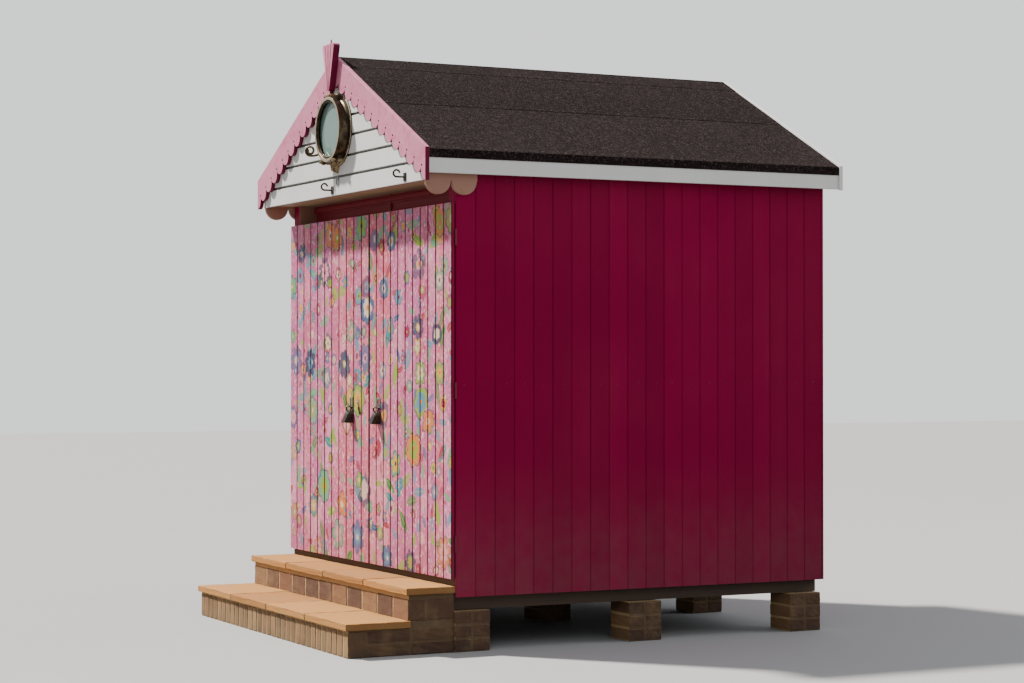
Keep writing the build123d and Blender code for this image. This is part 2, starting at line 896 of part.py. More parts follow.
def wing_bolt(x):
    """A lug on the drum with a bolt that passes through the ring's ear to a wing nut."""
    lug = disc(x, bolt_z, bolt_lug_radius, gable_y, drum_front_y)
    bolt = disc(x, bolt_z, bolt_radius, drum_front_y, ear_front_y - bolt_end)
    nut = disc(x, bolt_z, nut_radius, ear_front_y, ear_front_y - nut_height)
    wings = make_hull((Pos(x - wing_spread, bolt_z) * Circle(wing_radius)).edges()
                      + (Pos(x + wing_spread, bolt_z) * Circle(wing_radius / 2)).edges())
    wing_y = ear_front_y - nut_height / 2
    nut += upright(wings, wing_y + wing_thickness / 2, wing_y - wing_thickness / 2)
    return lug + bolt + nut


def scroll():
    """A flat bar bent into a scroll, fixed to the drum's lower left."""
    turn = math.radians(scroll_angle)
    reach = drum_radius + scroll_setout
    centre = Pos(-reach * math.cos(turn), porthole_z - reach * math.sin(turn))
    face = None
    for index in range(3):
        outer = scroll_radius - index * scroll_pitch
        shift = index * scroll_pitch * (1 if index % 2 else -1) / 2
        arc = Circle(outer) - Circle(outer - scroll_bar)
        side = 1 if index % 2 == 0 else -1
        half = Pos(0, side * scroll_radius) * Rectangle(4 * scroll_radius, 2 * scroll_radius)
        bend = centre * Pos(shift, 0) * (arc & half)
        face = bend if face is None else face + bend
    tang = centre * Pos(scroll_radius - scroll_bar / 2, -scroll_bar / 2) * Rectangle(
        scroll_bar, scroll_radius)
    face += tang
    back = gable_y - flange_thickness
    return upright(face, back, back - scroll_thickness)


def porthole_fittings(flange, ring):
    """Hinge, bracket, wing bolts and scroll, cut back to where they seat."""
    pieces = [porthole_hinge(), porthole_bracket(), wing_bolt(-bolt_offset),
              wing_bolt(bolt_offset), scroll()]
    core = disc(0, porthole_z, drum_radius, gable_y, drum_front_y)
    core += disc(0, porthole_z, ring_radius - ring_rounding, drum_front_y, ring_front_y)
    return [piece - flange - core - ring for piece in pieces]


flange = porthole_flange()
ring = porthole_ring()
save("porthole_flange", flange)
save("porthole_ring", ring)
save("porthole_glass", porthole_glass())
save("porthole_fittings", porthole_fittings(flange, ring))


def gable_hook(x):
    """A cup hook screwed through a small plate on the lowest gable board."""
    z = gable_bottom + hook_rise
    half = hook_plate_width / 2
    plate = block(x - half, x + half, gable_y - hook_plate_thickness, gable_y,
                  z - hook_plate_height / 2, z + hook_plate_height / 2)
    start = (x, gable_y - hook_plate_thickness / 2, z)
    bend = (x, gable_y - hook_reach, z)
    path = Line(start, bend)
    path += ThreePointArc(bend, (x, gable_y - hook_reach - hook_bend_radius,
                                 z + hook_bend_radius),
                          (x, gable_y - hook_reach, z + hook_bend_radius * 2))
    section = Plane(origin=path @ 0, z_dir=path % 0) * Circle(hook_rod_radius)
    return plate + sweep(section, path=path)


def pointed_ring():
    """A flat ring drawn out to a point at the top, which hangs against the boards."""
    centre_z = porthole_z - ring_radius - ring_loop_drop

    def drop(radius, point):
        touch = math.acos(radius / point)
        x = radius * math.sin(touch)
        z = radius * math.cos(touch)
        return Circle(radius) + outline([(-x, z), (x, z), (0, point)])

    inner_point = ring_loop_point - ring_loop_bar * ring_loop_point / ring_loop_radius
    face = drop(ring_loop_radius, ring_loop_point)
    face -= drop(ring_loop_radius - ring_loop_bar, inner_point)
    return upright(Pos(0, centre_z) * face, gable_y, gable_y - ring_loop_thickness)


save("gable_hooks", [gable_hook(x) for x in hook_offsets] + [pointed_ring()])

# Steps: two masses of brickwork and the stone slabs on them
slab_half = half_width
brick_half = half_width - slab_nosing
lower_front_y = front_y
upper_front_y = front_y + lower_step_going
lower_brick_top = lower_step_height - slab_thickness
upper_brick_top = upper_step_height - slab_thickness
upper_brick_y = upper_front_y + slab_nosing
tail_y = upper_brick_y + slab_tail


def lower_step_bricks():
    """The lower brickwork, raised behind the lower slabs to carry the upper step."""
    low = block(-brick_half, brick_half, lower_front_y + slab_nosing, frame_y,
                0, lower_brick_top)
    raised = block(-brick_half, brick_half, tail_y, frame_y,
                   lower_brick_top, lower_step_height)
    return low + raised


save("lower_step_bricks", lower_step_bricks())
save("upper_step_bricks", block(-brick_half, brick_half, upper_brick_y, frame_y,
                                lower_step_height, upper_brick_top))
lower_slabs = block(-slab_half, slab_half, lower_front_y, tail_y,
                    lower_brick_top, lower_step_height)
upper_slabs = block(-slab_half, slab_half, upper_front_y, frame_y,
                    upper_brick_top, upper_step_height)
save("step_slabs", [lower_slabs, upper_slabs])
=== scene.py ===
# %% [markdown]
# A painted beach hut. The imported model holds every timber, board and brick mass at its real
# size, and this lesson dresses it: boards with their joints, bricks in mortar, stone slabs,
# paint, brass and felt. Everything is in metres and shares the model's own axes, with the
# front towards minus Y and the ground at Z zero.

# %% Load the model
import contextlib
import math
import random

import bmesh
import bpy
from mathutils import Matrix, Vector


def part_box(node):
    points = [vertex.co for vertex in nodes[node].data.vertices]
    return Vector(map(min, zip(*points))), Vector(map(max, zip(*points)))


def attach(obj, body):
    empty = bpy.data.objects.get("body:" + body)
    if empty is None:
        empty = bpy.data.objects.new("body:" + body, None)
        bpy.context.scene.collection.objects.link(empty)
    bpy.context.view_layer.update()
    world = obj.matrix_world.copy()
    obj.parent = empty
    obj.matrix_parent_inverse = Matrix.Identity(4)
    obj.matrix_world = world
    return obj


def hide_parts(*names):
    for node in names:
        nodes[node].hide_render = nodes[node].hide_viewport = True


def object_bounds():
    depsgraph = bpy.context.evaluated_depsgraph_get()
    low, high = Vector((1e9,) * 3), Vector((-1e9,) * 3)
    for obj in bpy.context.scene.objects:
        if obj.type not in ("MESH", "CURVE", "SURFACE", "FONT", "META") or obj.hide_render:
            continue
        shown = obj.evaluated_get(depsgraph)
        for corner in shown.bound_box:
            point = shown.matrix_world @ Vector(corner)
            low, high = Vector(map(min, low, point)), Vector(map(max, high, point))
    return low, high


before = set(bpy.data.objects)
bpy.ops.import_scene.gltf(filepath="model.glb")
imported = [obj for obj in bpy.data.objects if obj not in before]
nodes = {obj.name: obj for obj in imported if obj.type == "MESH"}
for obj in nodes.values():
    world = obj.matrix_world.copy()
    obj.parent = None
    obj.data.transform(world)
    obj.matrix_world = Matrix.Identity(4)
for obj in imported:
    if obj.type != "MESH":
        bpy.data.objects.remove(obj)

cad_low, cad_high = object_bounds()

print("model box", [round(v, 3) for v in cad_low], [round(v, 3) for v in cad_high])

# %% [markdown]
# The camera stands where the photographer stood: twelve and a half metres to the right of
# the doors, five in front of them and at eye height. From there a long lens flattens the
# front and the roof's right slope fills the rest of the picture. A camera can be aimed with
# angles, but a target point is easier to reason about, so the aim is worked out from two
# points.

# %% Camera
EYE_HEIGHT = 1.56
LENS = 80
SENSOR = 36
door_low, door_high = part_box("right_door_boards")
eye = Vector((12.48, door_low.y - 5.27, EYE_HEIGHT))
aim = Vector((0.0, door_low.y + 0.98, 1.715))


def linked(name, data, finish=None):
    """A new object in the scene, with its finish if it has one."""
    piece = bpy.data.objects.new(name, data)
    bpy.context.scene.collection.objects.link(piece)
    if finish:
        data.materials.append(finish)
    return piece


def aimed(name, data, place, target):
    """An object that stands at a place and faces a target."""
    thing = linked(name, data)
    thing.location = place
    thing.rotation_euler = (target - place).to_track_quat("-Z", "Y").to_euler()
    return thing


camera_data = bpy.data.cameras.new("eye_level_camera")
camera_data.lens = LENS
camera_data.sensor_width = SENSOR
bpy.context.scene.camera = aimed("eye_level_camera", camera_data, eye, aim)
print("distance to the hut", round((aim - eye).length, 2))

# %% [markdown]
# Finishes, patterns and the studio's sky are graphs of nodes. Writing each node out takes
# many lines, so a small class adds a node, sets it up and joins it in one call. What leaves
# a node is held as a strand, and arithmetic on strands adds the Math nodes that work it
# out, so the product of two masks reads as one. The same class serves shaders and geometry.

# %% Strands
def arithmetic(operation, swapped=False):
    """A method of a strand that adds the node of an operation."""
    def method(strand, *others):
        values = (*others, strand) if swapped else (strand, *others)
        return strand.graph.reckon(operation, *values)
    return method


class Strand:
    """What leaves a node. Arithmetic on it adds the nodes that work it out."""

    __add__ = arithmetic("ADD")
    __radd__ = arithmetic("ADD", True)
    __sub__ = arithmetic("SUBTRACT")
    __rsub__ = arithmetic("SUBTRACT", True)
    __mul__ = arithmetic("MULTIPLY")
    __truediv__ = arithmetic("DIVIDE")
    __abs__ = arithmetic("ABSOLUTE")

    def __init__(self, graph, socket):
        self.graph = graph
        self.socket = socket
        self.is_vector = socket.type in ("VECTOR", "RGBA")

    def parts(self):
        """X, Y and Z of a vector, or the three channels of a colour."""
        outputs = self.graph.node("ShaderNodeSeparateXYZ", {0: self})
        return [outputs[index] for index in range(3)]

    def step(self, low, high):
        """Rises smoothly from 0 at low to 1 at high."""
        return self.graph.node("ShaderNodeMapRange", {
            "Value": self, "From Min": low, "From Max": high},
            interpolation_type="SMOOTHSTEP")[0]

    def ramp(self, stops, mode="LINEAR"):
        """Colours at their places between 0 and 1."""
        result = self.graph.node("ShaderNodeValToRGB", {0: self})[0]
        band = result.socket.node.color_ramp
        band.interpolation = mode
        for _ in stops[2:]:
            band.elements.new(0.5)
        for point, (position, colour) in zip(band.elements, stops):
            point.position = position
            point.color = (*colour, 1)
        return result


# %% [markdown]
# The graph itself has one call that adds a node, one that feeds a socket and one that picks
# the right kind of Math node. A vector can't go through a plain Math node, so the last one
# looks at what it is given.

# %% Graphs of nodes
class Graph:
    """A tree of nodes, with a short call that adds a node and joins it."""

    def __init__(self, tree):
        self.tree = tree

    def feed(self, socket, value):
        """Join a strand to a socket, or set the socket to a plain value."""
        if isinstance(value, Strand):
            self.tree.links.new(value.socket, socket)
        elif socket.type == "RGBA" and len(value) == 3:
            socket.default_value = (*value, 1)
        else:
            socket.default_value = value

    def node(self, kind, inputs=(), **settings):
        """Add a node and return its outputs, by number and by name."""
        node = self.tree.nodes.new(kind)
        for name, value in settings.items():
            setattr(node, name, value)
        for key, value in dict(inputs).items():
            self.feed(node.inputs[key], value)
        return {key: Strand(self, socket) for spot, socket in enumerate(node.outputs)
                for key in (spot, socket.name)}

    def reckon(self, operation, *values):
        """A Math node, or a Vector Math node where a value is a vector."""
        vectors = [isinstance(value, tuple) or getattr(value, "is_vector", False)
                   for value in values]
        inputs = dict(enumerate(values))
        if not any(vectors):
            return self.node("ShaderNodeMath", inputs, operation=operation)[0]
        if operation == "MULTIPLY" and not all(vectors):
            operation = "SCALE"
            inputs["Scale"] = inputs.pop(1)
        outputs = self.node("ShaderNodeVectorMath", inputs, operation=operation)
        return outputs["Value" if operation == "LENGTH" else "Vector"]


# %% [markdown]
# Studio light keeps the photograph's direction and softens its edges. The light there came
# from the left and in front, half way up, and laid the gable's shadow across the top of the
# doors. A near lamp would leave the far floor dark, so the key is a distant light, which is
# as strong everywhere, with a wide enough face to blur the shadows. A broad pale panel opens
# the shaded wall, and another lights the back.

# %% Light
HUT_MIDDLE = Vector((0.0, 0.0, 1.6))
key = bpy.data.lights.new("key", "SUN")
key.energy = 9.0
key.angle = math.radians(4)
key.color = (1.0, 0.94, 0.86)
aimed("key", key, Vector((-7.0, -5.7, 12.7)), HUT_MIDDLE)
for name, place, size, power, colour in (
        ("fill", (11.0, -4.0, 5.5), 7.0, 165, (0.93, 0.96, 1.0)),
        ("rear", (5.0, 11.0, 7.5), 6.0, 420, (0.95, 0.97, 1.0))):
    panel = bpy.data.lights.new(name, "AREA")
    panel.shape = "SQUARE"
    panel.size = size
    panel.energy = power
    panel.color = colour
    aimed(name, panel, Vector(place), HUT_MIDDLE)
print("lights", [lamp.name for lamp in bpy.data.lights])

# %% [markdown]
# Open sky lights the real hut from all round. Here an even grey world does that. A sky weak
# enough to leave the shadows their depth would look dull behind the hut, so rays that come
# from the camera find it brighter than the hut does.

# %% Sky
SKY_ON_THE_HUT = 0.54
SKY_IN_THE_PICTURE = 1.35
world = bpy.data.worlds.new("studio")
world.use_nodes = True
studio = Graph(world.node_tree)
sky = studio.tree.nodes["Background"]
studio.feed(sky.inputs["Color"], (0.89, 0.90, 0.92))
seen = studio.node("ShaderNodeLightPath")["Is Camera Ray"]
studio.feed(sky.inputs["Strength"], studio.node("ShaderNodeMapRange", {
    "Value": seen, "To Min": SKY_ON_THE_HUT, "To Max": SKY_IN_THE_PICTURE})[0])
bpy.context.scene.world = world

# %% [markdown]
# A finish is laid on in coats, as a painter would: a first colour, then thinner coats that
# show only where a mask lets them. Patterns read object coordinates in metres, so a grain
# of two millimetres stays two millimetres on every piece.

# %% A class for finishes
class Finish(Graph):
    """A material whose colours, roughness and bumps are laid on in turn."""

    def __init__(self, name, roughness=0.6, metallic=0.0, shine=0.5):
        self.material = bpy.data.materials.new(name)
        self.material.use_nodes = True
        super().__init__(self.material.node_tree)
        self.shader = self.tree.nodes["Principled BSDF"]
        self.give({"Roughness": roughness, "Metallic": metallic,
                   "Specular IOR Level": shine})
        spot = self.node("ShaderNodeTexCoord")
        self.place = spot["Object"]
        self.normal = spot["Normal"]

    def give(self, values):
        """Feed the shader's own inputs."""
        for name, value in values.items():
            self.feed(self.shader.inputs[name], value)

    def tone(self):
        """The random number that each board or brick carries."""
        return self.node("ShaderNodeAttribute", attribute_name="tone")["Fac"]

    def join(self, x, y):
        return self.node("ShaderNodeCombineXYZ", {0: x, 1: y, 2: 0.0})[0]

    def mix(self, mask, first, second):
        """The first colour, and the second one where the mask is one."""
        return self.node("ShaderNodeMix", {0: mask, 6: first, 7: second},
                         data_type="RGBA")[2]

    def noise(self, scale, detail=3.0, roughness=0.55, stretch=(1, 1, 1)):
        """Soft blotches, drawn out along the axis whose stretch is small."""
        return self.node("ShaderNodeTexNoise", {
            "Vector": self.place * stretch, "Scale": scale, "Detail": detail,
            "Roughness": roughness})["Fac"]

    def drift(self, scale, reach):
        """A vector that wanders by up to about half of reach in every direction."""
        wander = self.node("ShaderNodeTexNoise", {
            "Vector": self.place, "Scale": scale, "Detail": 2.0})["Color"]
        return (wander - (0.5, 0.5, 0.5)) * reach

    def cells(self, scale, place=None, dimensions="3D", randomness=1.0):
        return self.node("ShaderNodeTexVoronoi", {
            "Vector": place or self.place, "Scale": scale, "Randomness": randomness},
            voronoi_dimensions=dimensions)

    def colour(self, value):
        self.give({"Base Color": value})

    def cover(self, mask, colour):
        """Lay another colour over the one already there, where the mask is one."""
        below = Strand(self, self.shader.inputs["Base Color"].links[0].from_socket)
        self.colour(self.mix(mask, below, colour))

    def bump(self, height, distance, strength=1.0):
        """Raise the surface by height times distance, over any bump already there."""
        inputs = {"Height": height, "Distance": distance, "Strength": strength}
        socket = self.shader.inputs["Normal"]
        if socket.is_linked:
            inputs["Normal"] = Strand(self, socket.links[0].from_socket)
        self.feed(socket, self.node("ShaderNodeBump", inputs)[0])


def shade(colour, amount):
    """The same colour, lighter above one and darker below."""
    return tuple(min(1.0, channel * amount) for channel in colour)


# %% [markdown]
# Outdoor gloss paint is never one colour. It fades in patches, keeps the brush's fine
# ridges along the board, and gathers grime near the ground, and the shade under the laps of
# the gable's boards is painted in as grey. One function paints all the boards, with the
# direction of the brush and the amount of wear as inputs.
# A random number carried by each board, called tone, makes neighbours differ slightly.

# %% Paint
ALONG_X = (0.06, 1, 1)
ALONG_Y = (1, 0.06, 1)
ALONG_Z = (1, 1, 0.06)
DRY_ROSE = (0.50, 0.10, 0.16)
BARE_WOOD = (0.30, 0.22, 0.15)
GRIME = (0.16, 0.13, 0.11)


def brushed_paint(name, colour, grain=ALONG_Z, gloss=0.42, wear=0.5, grime=0.35,
                  edge=None, tone=0.14, chalk=0.0, shine=0.17, blotch=None):
    """Paint with brush ridges, fading, chips and grime towards the ground."""
    paint = Finish(name, gloss, shine=shine)
    patches = paint.noise(2.4, 4)
    paint.colour(paint.mix(patches, shade(colour, 0.86), shade(colour, 1.12)))
    streaks = paint.noise(190, 3, stretch=grain)
    paint.cover(streaks.step(0.45, 0.75) * 0.35, shade(colour, 0.72))
    if chalk:
        runs = paint.noise(7, 5, 0.6, grain).step(0.42, 0.70)
        faded = (runs * 0.6 + 0.4) * paint.noise(0.9, 3).step(0.35, 0.7)
        pale = tuple(0.72 * own + 0.28 * dry for own, dry in zip(colour, DRY_ROSE))
        paint.cover(faded * chalk, pale)
    if tone:
        paint.cover(paint.tone() * tone, shade(colour, 0.45))
    if blotch:
        paint.cover(paint.noise(17, 6, 0.68).step(0.46, 0.66) * 0.5, blotch)
    # Painted shade: faces turned sideways or down take the darker edge colour, and faces turned
    # up keep the main colour.
    if edge:
        _, forward, up = paint.normal.parts()
        paint.cover(abs(forward).step(0.75, 0.4) * up.step(0.6, 0.3), edge)
    low_down = paint.place.parts()[2].step(1.1, 0.25) * grime
    paint.cover(low_down * paint.noise(9, 6), GRIME)
    first_chip = 0.80 - 0.08 * wear
    chips = paint.noise(70, 5, 0.65, grain).step(first_chip, first_chip + 0.03)
    paint.cover(chips * 0.8, BARE_WOOD)
    paint.give({"Roughness": patches * 0.22 + (gloss - 0.08) + chips * 0.3})
    paint.bump(streaks, 0.00035, 0.7)
    paint.bump(1.0 - chips, 0.0004, 0.6)
    return paint


# %% [markdown]
# Three of the painted surfaces change from place to place. The rebates between the gable's
# boards carry painted shade in grey, the wall boards are bare wood on the inside of the hut,
# and the posts turn cream above the doors. Separate faces could have separate materials, but
# a mask worked out from the place keeps one material to a piece and follows the painter's
# line exactly.

# %% Paints that change with place
CRIMSON = (0.262, 0.0001, 0.047)
WHITE = (0.74, 0.75, 0.745)
CREAM = (0.38, 0.21, 0.155)
REBATE_SHADE_GREY = (0.085, 0.080, 0.076)
STREAK_GREY = (0.36, 0.33, 0.27)
PALE_WOOD = (0.48, 0.34, 0.20)
DARK_WOOD = (0.24, 0.145, 0.075)


def lapped_white(face_y):
    """White boards whose rebates, a centimetre behind the face, are painted grey as their
    shade.
    """
    paint = brushed_paint("white_lapped_boards", WHITE, ALONG_X, wear=0.2, grime=0, tone=0.05)
    depth = paint.place.parts()[1] - face_y
    # Painted shade: the rebates, a few millimetres behind the face, are painted dark grey for
    # the shade under each board.
    paint.cover(depth.step(0.0035, 0.009) * 0.9, REBATE_SHADE_GREY)
    streaks = paint.noise(5, 5, stretch=(1, 1, 0.15)).step(0.55, 0.8)
    paint.cover(streaks * 0.16, STREAK_GREY)
    return paint.material


def wall_paint():
    """Crimson outside, and bare wood within the studs' outer line."""
    paint = brushed_paint("crimson_gloss_walls", CRIMSON, gloss=0.38, tone=0.34, chalk=0.3,
                          shine=0.06)
    x, y, _ = paint.place.parts()
    post_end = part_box("front_posts")[1]
    half_room = post_end.x + 0.0015
    room_front = post_end.y + 0.005
    room_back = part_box("rear_wall_cladding")[0].y + 0.0015
    sides = abs(x).step(half_room + 0.0005, half_room)
    ends = y.step(room_front, room_front + 0.001) * y.step(room_back + 0.0005, room_back)
    wood = paint.noise(46, 5, 0.6, ALONG_Z).ramp([
        (0.3, DARK_WOOD), (0.55, PALE_WOOD), (0.7, (0.40, 0.27, 0.16))])
    paint.cover(sides * ends, wood)
    return paint.material


def post_paint():
    """Crimson posts with cream on their inner faces above the doors."""
    paint = brushed_paint("crimson_gloss_posts", CRIMSON, gloss=0.38, shine=0.06)
    half_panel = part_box("header_panel")[1].x
    x, _, height = paint.place.parts()
    inner = abs(x).step(half_panel + 0.003, half_panel + 0.002)
    paint.cover(inner * height.step(door_high.z + 0.002, door_high.z + 0.004), CREAM)
    return paint.material


# %% [markdown]
# With the functions ready, each paint on the hut is one call. What lies level is brushed along
# X, the header is painted lighter than the walls as painted light thrown up from the ground,
# and the pink trim has crimson edges, darkened as painted shade on its sides and undersides.

# %% The paints
BOUNCE_LIT_CRIMSON = (0.31, 0.034, 0.052)
PINK = (0.64, 0.235, 0.355)
BLOTCH_PINK = (0.50, 0.105, 0.225)
SHADED_EDGE_CRIMSON = (0.13, 0.003, 0.03)
TAN = (0.46, 0.33, 0.22)
post_crimson = post_paint()
crimson = brushed_paint("crimson_gloss", CRIMSON, gloss=0.38, shine=0.06).material
wall_crimson = wall_paint()
crimson_level = brushed_paint("crimson_gloss_level", CRIMSON, ALONG_X, shine=0.06).material
# Painted light: the header's crimson is lighter and greyer than the walls', for the light
# thrown up onto it from the ground.
crimson_header = brushed_paint("crimson_faded_header", BOUNCE_LIT_CRIMSON, ALONG_X,
                               shine=0.1).material
white = brushed_paint("white_satin", WHITE, ALONG_X, wear=0.2, grime=0.2, tone=0.05).material
gable_white = lapped_white(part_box("gable_panel")[0].y)
cream = brushed_paint("cream_satin", CREAM, ALONG_Y, grime=0).material
tan = brushed_paint("tan_satin", TAN, ALONG_X, tone=0).material
pink_trim = brushed_paint("pink_satin", PINK, ALONG_X, wear=0.3, grime=0, tone=0,
                          edge=SHADED_EDGE_CRIMSON, blotch=BLOTCH_PINK).material
print("paints", [m.name for m in (crimson, crimson_level, white, cream, tan, pink_trim)])

# %% [markdown]
# Sawn softwood inside and under the hut is bare. Its year rings show as long narrow
# streaks, here noise drawn out along the timber. The direction of the timber is chosen by a
# stretch vector, as it is for the brush marks of the paint. The bearers and joists under the
# floor and the sides of the deck boards are dark brown, as painted shade.

# %% Bare timber
UNDERFLOOR_SHADE_BROWN = (0.060, 0.038, 0.026)


def sawn_timber(name, grain, light=(0.50, 0.35, 0.20), dark=DARK_WOOD, sides=None):
    """Weathered sawn softwood with streaked grain, and painted shade on its sides if a shade is
    given.
    """
    wood = Finish(name, 0.78)
    rings = wood.noise(46, 5, 0.6, grain)
    fine = wood.noise(240, 3, stretch=grain)
    wood.colour(rings.ramp([(0.3, dark), (0.52, light), (0.7, shade(light, 0.8))]))
    wood.cover(fine * 0.35, shade(dark, 0.8))
    wood.cover(wood.tone() * 0.45, shade(dark, 1.2))
    if sides:
        stain = wood.mix(rings, shade(sides, 0.6), shade(sides, 1.3))
        wood.cover(wood.normal.parts()[2].step(0.7, 0.4), stain)
    wood.bump(fine, 0.0006, 0.8)
    return wood.material


timber_x = sawn_timber("timber_along_x", ALONG_X)
timber_y = sawn_timber("timber_along_y", ALONG_Y)
timber_z = sawn_timber("timber_along_z", ALONG_Z)
# Painted shade: the deck's sides and the bearers and joists below are dark brown, for the shade
# under the hut.
deck_timber = sawn_timber("deck_timber", ALONG_Y, sides=UNDERFLOOR_SHADE_BROWN)
roof_timber = sawn_timber("roof_boarding", ALONG_Y)
underfloor_shade_x = sawn_timber("tarred_timber_x", ALONG_X, shade(UNDERFLOOR_SHADE_BROWN, 1.4), UNDERFLOOR_SHADE_BROWN)
underfloor_shade_y = sawn_timber("tarred_timber_y", ALONG_Y, shade(UNDERFLOOR_SHADE_BROWN, 1.4), UNDERFLOOR_SHADE_BROWN)
print("timber", [m.name for m in (timber_x, timber_y, timber_z, deck_timber, roof_timber,
                                  underfloor_shade_x, underfloor_shade_y)])

# %% [markdown]
# The roof is covered with mineral felt: tar with crushed slate pressed into it. Close up it
# is a field of tiny grains of different browns, so a fine cell pattern picks a colour for
# each grain and also raises it. Broad noise adds the pale dust that settles in patches, and
# noise drawn out down the slope adds the runs that rain has left.

# %% Mineral felt
def mineral_felt():
    """Dark brown felt with a coat of mineral grains."""
    felt = Finish("brown_mineral_felt", 0.95, shine=0.08)
    grains = felt.cells(430)
    felt.colour(grains["Color"].parts()[0].ramp([
        (0.0, (0.003, 0.002, 0.002)), (0.45, (0.008, 0.005, 0.005)),
        (0.85, (0.017, 0.011, 0.011)), (1.0, (0.13, 0.085, 0.078))]))
    fleck = felt.cells(105)["Color"].parts()[1]
    felt.cover(fleck.step(0.86, 0.95) * 0.66, (0.062, 0.042, 0.044))
    felt.cover(fleck.step(0.30, 0.10) * 0.6, (0.003, 0.002, 0.002))
    dust = felt.noise(3.1, 6, 0.6).step(0.45, 0.8)
    felt.cover(dust * 0.24, (0.033, 0.024, 0.027))
    runs = felt.noise(16, 4, stretch=(0.12, 1, 0.12)).step(0.5, 0.8)
    felt.cover(runs * 0.35, (0.020, 0.017, 0.015))
    felt.bump(grains["Distance"], 0.0012, 0.9)
    felt.bump(felt.noise(7, 4), 0.006, 0.5)
    return felt.material


felt_brown = mineral_felt()
print("felt has", len(felt_brown.node_tree.nodes), "nodes")

# %% [markdown]
# No metal on the hut is bright for long in salt air. It is stained in patches, and the
# patches are rougher than the rest. A plain colour would look like plastic, so one function
# gives the pits and the mask of the stains, and every metal is mixed from them.

# %% Aged metals
def aged_metal(name, scale, roughness, metallic, pits=320):
    """A pitted metal, and the mask of the stains on it."""
    metal = Finish(name, roughness, metallic)
    metal.bump(metal.noise(pits, 4), 0.0003, 0.6)
    return metal, metal.noise(scale, 7, 0.65).step(0.42, 0.66)


def worn_metal(name, base, stain, roughness, metallic, scale=26, amount=0.6):
    """A metal with stained patches that are rougher than the rest."""
    metal, patch = aged_metal(name, scale, roughness, metallic)
    patch = patch * amount
    metal.colour(metal.mix(patch, base, stain))
    metal.give({"Roughness": patch * 0.3 + roughness})
    return metal.material


# %% [markdown]
# The porthole's brass is dark brown with a greenish bloom in the hollows, and a narrow band on
# the drum and on the ring is a painted highlight in bright brass. A second material on a ring
# of faces would end in a hard line, so the band is worked out from the distance to the middle.

# %% Porthole brass
flange_low, flange_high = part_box("porthole_flange")
PORT_Z = (flange_low.z + flange_high.z) / 2


def porthole_brass(name, highlight_from, highlight_to):
    """Brass dark with age, with a painted highlight in a band of radii."""
    metal, stain = aged_metal(name, 30, 0.6, 0.85, pits=300)
    x, _, z = metal.place.parts()
    radius = metal.reckon("LENGTH", metal.join(x, z - PORT_Z))
    band = (radius.step(highlight_from, highlight_from + 0.001)
            * radius.step(highlight_to + 0.001, highlight_to))
    metal.colour(metal.mix(stain, (0.085, 0.060, 0.036), (0.026, 0.021, 0.016)))
    metal.cover(metal.noise(17, 5).step(0.56, 0.70) * 0.45, (0.045, 0.062, 0.048))
    # Painted highlight: the band of radii is bright brass, for the light caught along the rims.
    metal.cover(band, metal.mix(stain, (0.74, 0.64, 0.46), (0.42, 0.31, 0.18)))
    metal.give({"Roughness": stain * 0.22 + 0.30})
    return metal.material


brass_drum = porthole_brass("dark_brass_drum", 0.2095, 0.2160)
brass_ring = porthole_brass("brass_glazing_ring", 0.1745, 0.1900)
print("middle of the porthole", round(PORT_Z, 4))

# %% [markdown]
# The cup hooks and the covers of the locks are black iron, but a pointed ring between the
# hooks and the staples of the locks are bare steel. Each of these is one piece in the model,
# so the steel is picked out by its place again.

# %% Hook and lock iron
def hook_iron():
    """Black iron for the cup hooks and bare steel for the pointed ring between them."""
    metal, stain = aged_metal("hook_iron", 60, 0.4, 0.5)
    black = metal.mix(stain, (0.016, 0.013, 0.012), (0.075, 0.042, 0.025))
    steel = metal.mix(stain, (0.34, 0.35, 0.35), (0.20, 0.17, 0.14))
    across = abs(metal.place.parts()[0])
    metal.colour(metal.mix(across.step(0.04, 0.035), black, steel))
    return metal.material


def lock_iron():
    """Black iron for the rings and covers, with a bare steel staple above them and a painted
    sheen along each cover's shoulder.
    """
    metal, stain = aged_metal("lock_iron", 70, 0.42, 0.45)
    height = metal.place.parts()[2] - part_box("left_door_lock")[0].z
    metal.colour(metal.mix(stain, (0.010, 0.010, 0.011), (0.060, 0.032, 0.020)))
    # Painted highlight: a lighter grey band along the shoulder of each cover stands in for the
    # sheen on it.
    shoulder_sheen = height.step(0.045, 0.072) * height.step(0.081, 0.079)
    metal.cover(shoulder_sheen * 0.45, (0.22, 0.21, 0.20))
    steel = metal.mix(stain, (0.46, 0.43, 0.37), (0.20, 0.14, 0.10))
    metal.cover(height.step(0.098, 0.100), steel)
    return metal.material


hook_metal = hook_iron()
lock_metal = lock_iron()
print("iron", hook_metal.name, lock_metal.name)

# %% [markdown]
# The porthole's glass is thick, pale green and slightly clouded. Clear glass would only show
# the dark roof space behind it, so most of its colour is on the surface, where a thin coat
# gives the shine.

# %% Glass
def sea_glass():
    """Thick pale green glass, slightly clouded by salt."""
    glass = Finish("pale_green_glass", 0.07)
    glass.colour(glass.mix(glass.noise(6, 5), (0.17, 0.29, 0.265), (0.27, 0.39, 0.36)))
    glass.give({"Transmission Weight": 0.2, "IOR": 1.5, "Coat Weight": 0.4,
                "Coat Roughness": 0.03})
    return glass.material


glass_green = sea_glass()
print("glass has", len(glass_green.node_tree.nodes), "nodes")

# %% [markdown]
# The other metals are one call each: brass that hands have touched, zinc gone dull, tarred
# nail heads and the steel of the padlocks. Hinges and wall nails were painted over with the
# wood, so their paint is a metal's colour with rust for its stain.

